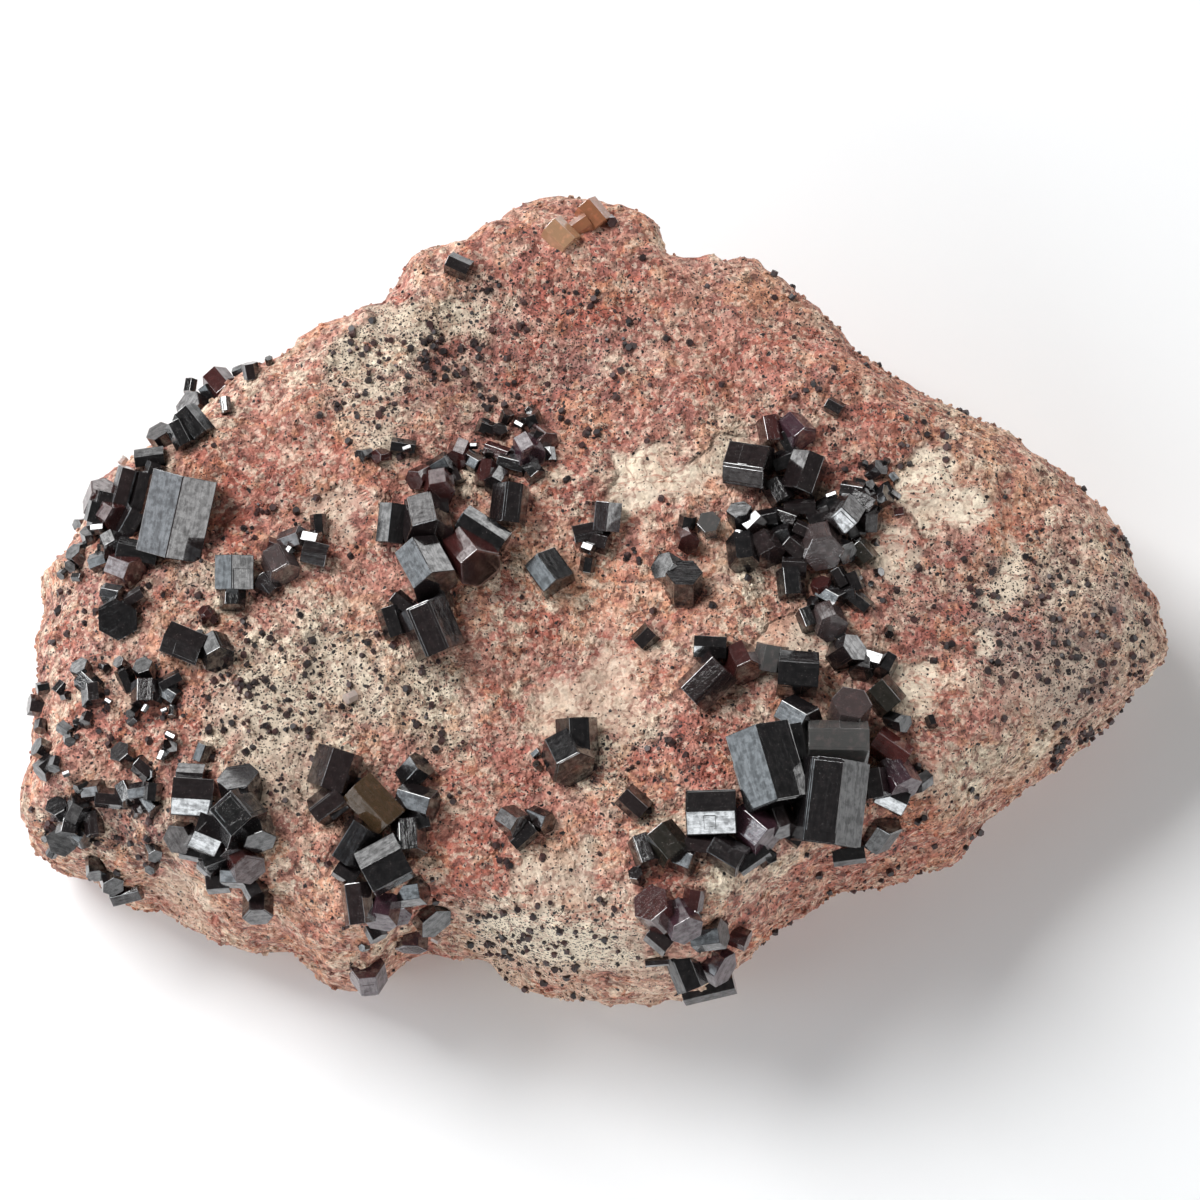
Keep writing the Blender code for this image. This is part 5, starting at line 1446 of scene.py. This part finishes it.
def black_grain_share(points, black):
    """Where the black grains stand: at the druses and wherever the stone is full of specks."""
    across, up = to_face(points)
    share = numpy.clip(black - GRAIN_THRESHOLD, 0, 1) ** 1.6 * GRAIN_SHARE
    upper = smooth_step((points[:, 2] - 12.0) / 5.0)
    for spot_across, spot_up, size in GRAIN_SPOTS:
        reach = numpy.hypot(across - spot_across, up - spot_up) / size
        share += DRUSE_SHARE * smooth_step(1.15 - reach) * upper
    return share * smooth_step((points[:, 2] - 4.0) / 3.0)


def crumb_share(points, black):
    """Crumbs stand all over the stone, and thicker on its edges."""
    outer = smooth_step((27.0 - points[:, 2]) / 8.0)
    return (0.55 + 0.45 * outer) * smooth_step((points[:, 2] - 1.5) / 2.0)


class MINERAL_OT_black_grains(bpy.types.Operator):
    """Scatter the black grains and tiny crystals over the stone"""
    bl_idname = "mineral.black_grains"
    bl_label = "Black grains"

    def execute(self, context):
        settings = context.scene.grain_settings
        tree = scatter_tree(
            "Scatter black grains", "GeometryNodeMeshCone",
            {"Vertices": 6, "Radius Top": 0.92, "Radius Bottom": 1.0, "Depth": 1.5})
        surface = scatter_surface(bpy.data.objects["matrix_stone"], black_grain_share)
        grains = scatter("black_grains", tree, surface, {
            "Size": settings.grain_size, "Spacing": settings.grain_spacing, "Flatness": 0.9,
            "Seed": settings.seed, "Material": grain_material()})
        keep_in_box(grains.data)
        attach(grains, "root")
        return {"FINISHED"}


class MINERAL_OT_crumbs(bpy.types.Operator):
    """Scatter crumbs of stone that roughen the slab's surface and edge"""
    bl_idname = "mineral.crumbs"
    bl_label = "Stone crumbs"

    def execute(self, context):
        settings = context.scene.grain_settings
        tree = scatter_tree(
            "Scatter stone crumbs", "GeometryNodeMeshIcoSphere", {"Radius": 1.0, "Subdivisions": 1})
        surface = scatter_surface(bpy.data.objects["matrix_stone"], crumb_share)
        crumbs = scatter("stone_crumbs", tree, surface, {
            "Size": settings.crumb_size, "Spacing": settings.crumb_spacing, "Flatness": 0.55,
            "Seed": settings.seed + 1, "Material": bpy.data.materials["stone"]})
        keep_in_box(crumbs.data)
        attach(crumbs, "root")
        return {"FINISHED"}


def keep_in_box(mesh):
    """Hold a mesh inside the solid model's box."""
    points = numpy.empty(len(mesh.vertices) * 3)
    mesh.vertices.foreach_get("co", points)
    points = numpy.clip(points.reshape(-1, 3), numpy.array(CAD_BOX[0]), numpy.array(CAD_BOX[1]))
    mesh.vertices.foreach_set("co", points.ravel())
    mesh.update()


# The stage

def add_softbox(name, azimuth, elevation, width, height, power, colour, target):
    """A soft rectangular light that faces the object."""
    light = bpy.data.lights.new(name, "AREA")
    light.shape = "RECTANGLE"
    light.size = width
    light.size_y = height
    light.energy = power
    light.color = colour
    lamp = add_object(name, light)
    way = lamp_way(azimuth, elevation)
    lamp.location = target + way * SOFTBOX_DISTANCE
    lamp.rotation_euler = way.to_track_quat("Z", "Y").to_euler()


class MINERAL_OT_stage(bpy.types.Operator):
    """Set the floor, the soft lights and the camera"""
    bl_idname = "mineral.stage"
    bl_label = "Stage"

    def execute(self, context):
        settings = context.scene.stage_settings
        scene = context.scene
        builder = bmesh.new()
        bmesh.ops.create_grid(builder, x_segments=1, y_segments=1, size=2.0)
        mesh = bpy.data.meshes.new("floor")
        builder.to_mesh(mesh)
        builder.free()
        material, _, shader = new_material("floor")
        shader.inputs["Base Color"].default_value = (*settings.floor_colour, 1)
        shader.inputs["Roughness"].default_value = 0.9
        mesh.materials.append(material)
        add_object("floor", mesh)

        target = VIEW_CENTRE * MM
        for name, azimuth, elevation, wide, tall, share, colour in SOFTBOXES:
            power = settings.key if name == "key" else settings.fill * share
            add_softbox(name, azimuth, elevation, wide, tall, power, colour, target)

        world = bpy.data.worlds.new("room")
        world.use_nodes = True
        sketch = Sketch(world.node_tree)
        way = sketch.node("ShaderNodeTexCoord").outputs["Generated"]
        sides = sketch.node("ShaderNodeSeparateXYZ", {"Vector": way})
        rise = sketch.signal(sides, "Z")
        backdrop = world.node_tree.nodes["Background"]
        backdrop.inputs["Color"].default_value = (1, 1, 1, 1)
        behind = sketch.signal(sides, "Y").step(-0.80, -0.25) * 0.80 + 0.20
        glow = (1.0 - rise.step(0.14, 0.34)) * behind * settings.walls + settings.surround
        sketch.feed(backdrop.inputs["Strength"], glow)
        scene.world = world
        scene.view_settings.view_transform = "Standard"

        data = bpy.data.cameras.new("camera")
        data.lens = LENS
        data.sensor_width = SENSOR
        data.clip_start = 0.01
        camera = add_object("camera", data)
        camera.location = EYE * MM
        camera.rotation_euler = TOWARD.to_track_quat("Z", "Y").to_euler()
        scene.camera = camera
        return {"FINISHED"}


class MINERAL_PT_panel(bpy.types.Panel):
    """The builders, in the sidebar"""
    bl_label = "Vanadinite in Matrix"
    bl_idname = "MINERAL_PT_panel"
    bl_space_type = "VIEW_3D"
    bl_region_type = "UI"
    bl_category = "Mineral"

    def draw(self, context):
        layout = self.layout
        for operator in OPERATORS:
            layout.operator(operator.bl_idname)
        for name in SETTINGS:
            box = layout.box()
            group = getattr(context.scene, name)
            for field in group.__annotations__:
                box.prop(group, field)


OPERATORS = (
    MINERAL_OT_stone, MINERAL_OT_crystals, MINERAL_OT_small_crystals, MINERAL_OT_black_grains,
    MINERAL_OT_crumbs, MINERAL_OT_stage)
SETTINGS = {
    "stone_settings": MatrixSettings, "crystal_settings": CrystalSettings,
    "grain_settings": GrainSettings, "stage_settings": StageSettings}


def register():
    """Make the panel, the settings and the operators known."""
    for kind in (*SETTINGS.values(), *OPERATORS, MINERAL_PT_panel):
        bpy.utils.register_class(kind)
    for name, kind in SETTINGS.items():
        setattr(bpy.types.Scene, name, PointerProperty(type=kind))


def unregister():
    """Take them away again."""
    for name in SETTINGS:
        delattr(bpy.types.Scene, name)
    for kind in (MINERAL_PT_panel, *reversed(OPERATORS), *SETTINGS.values()):
        bpy.utils.unregister_class(kind)


def main():
    """Build the stone, its crystals, its grains and the stage."""
    register()
    bpy.ops.mineral.stone()
    bpy.ops.mineral.crystals()
    bpy.ops.mineral.small_crystals()
    bpy.ops.mineral.black_grains()
    bpy.ops.mineral.crumbs()
    bpy.ops.mineral.stage()


if __name__ == "__main__":
    main()
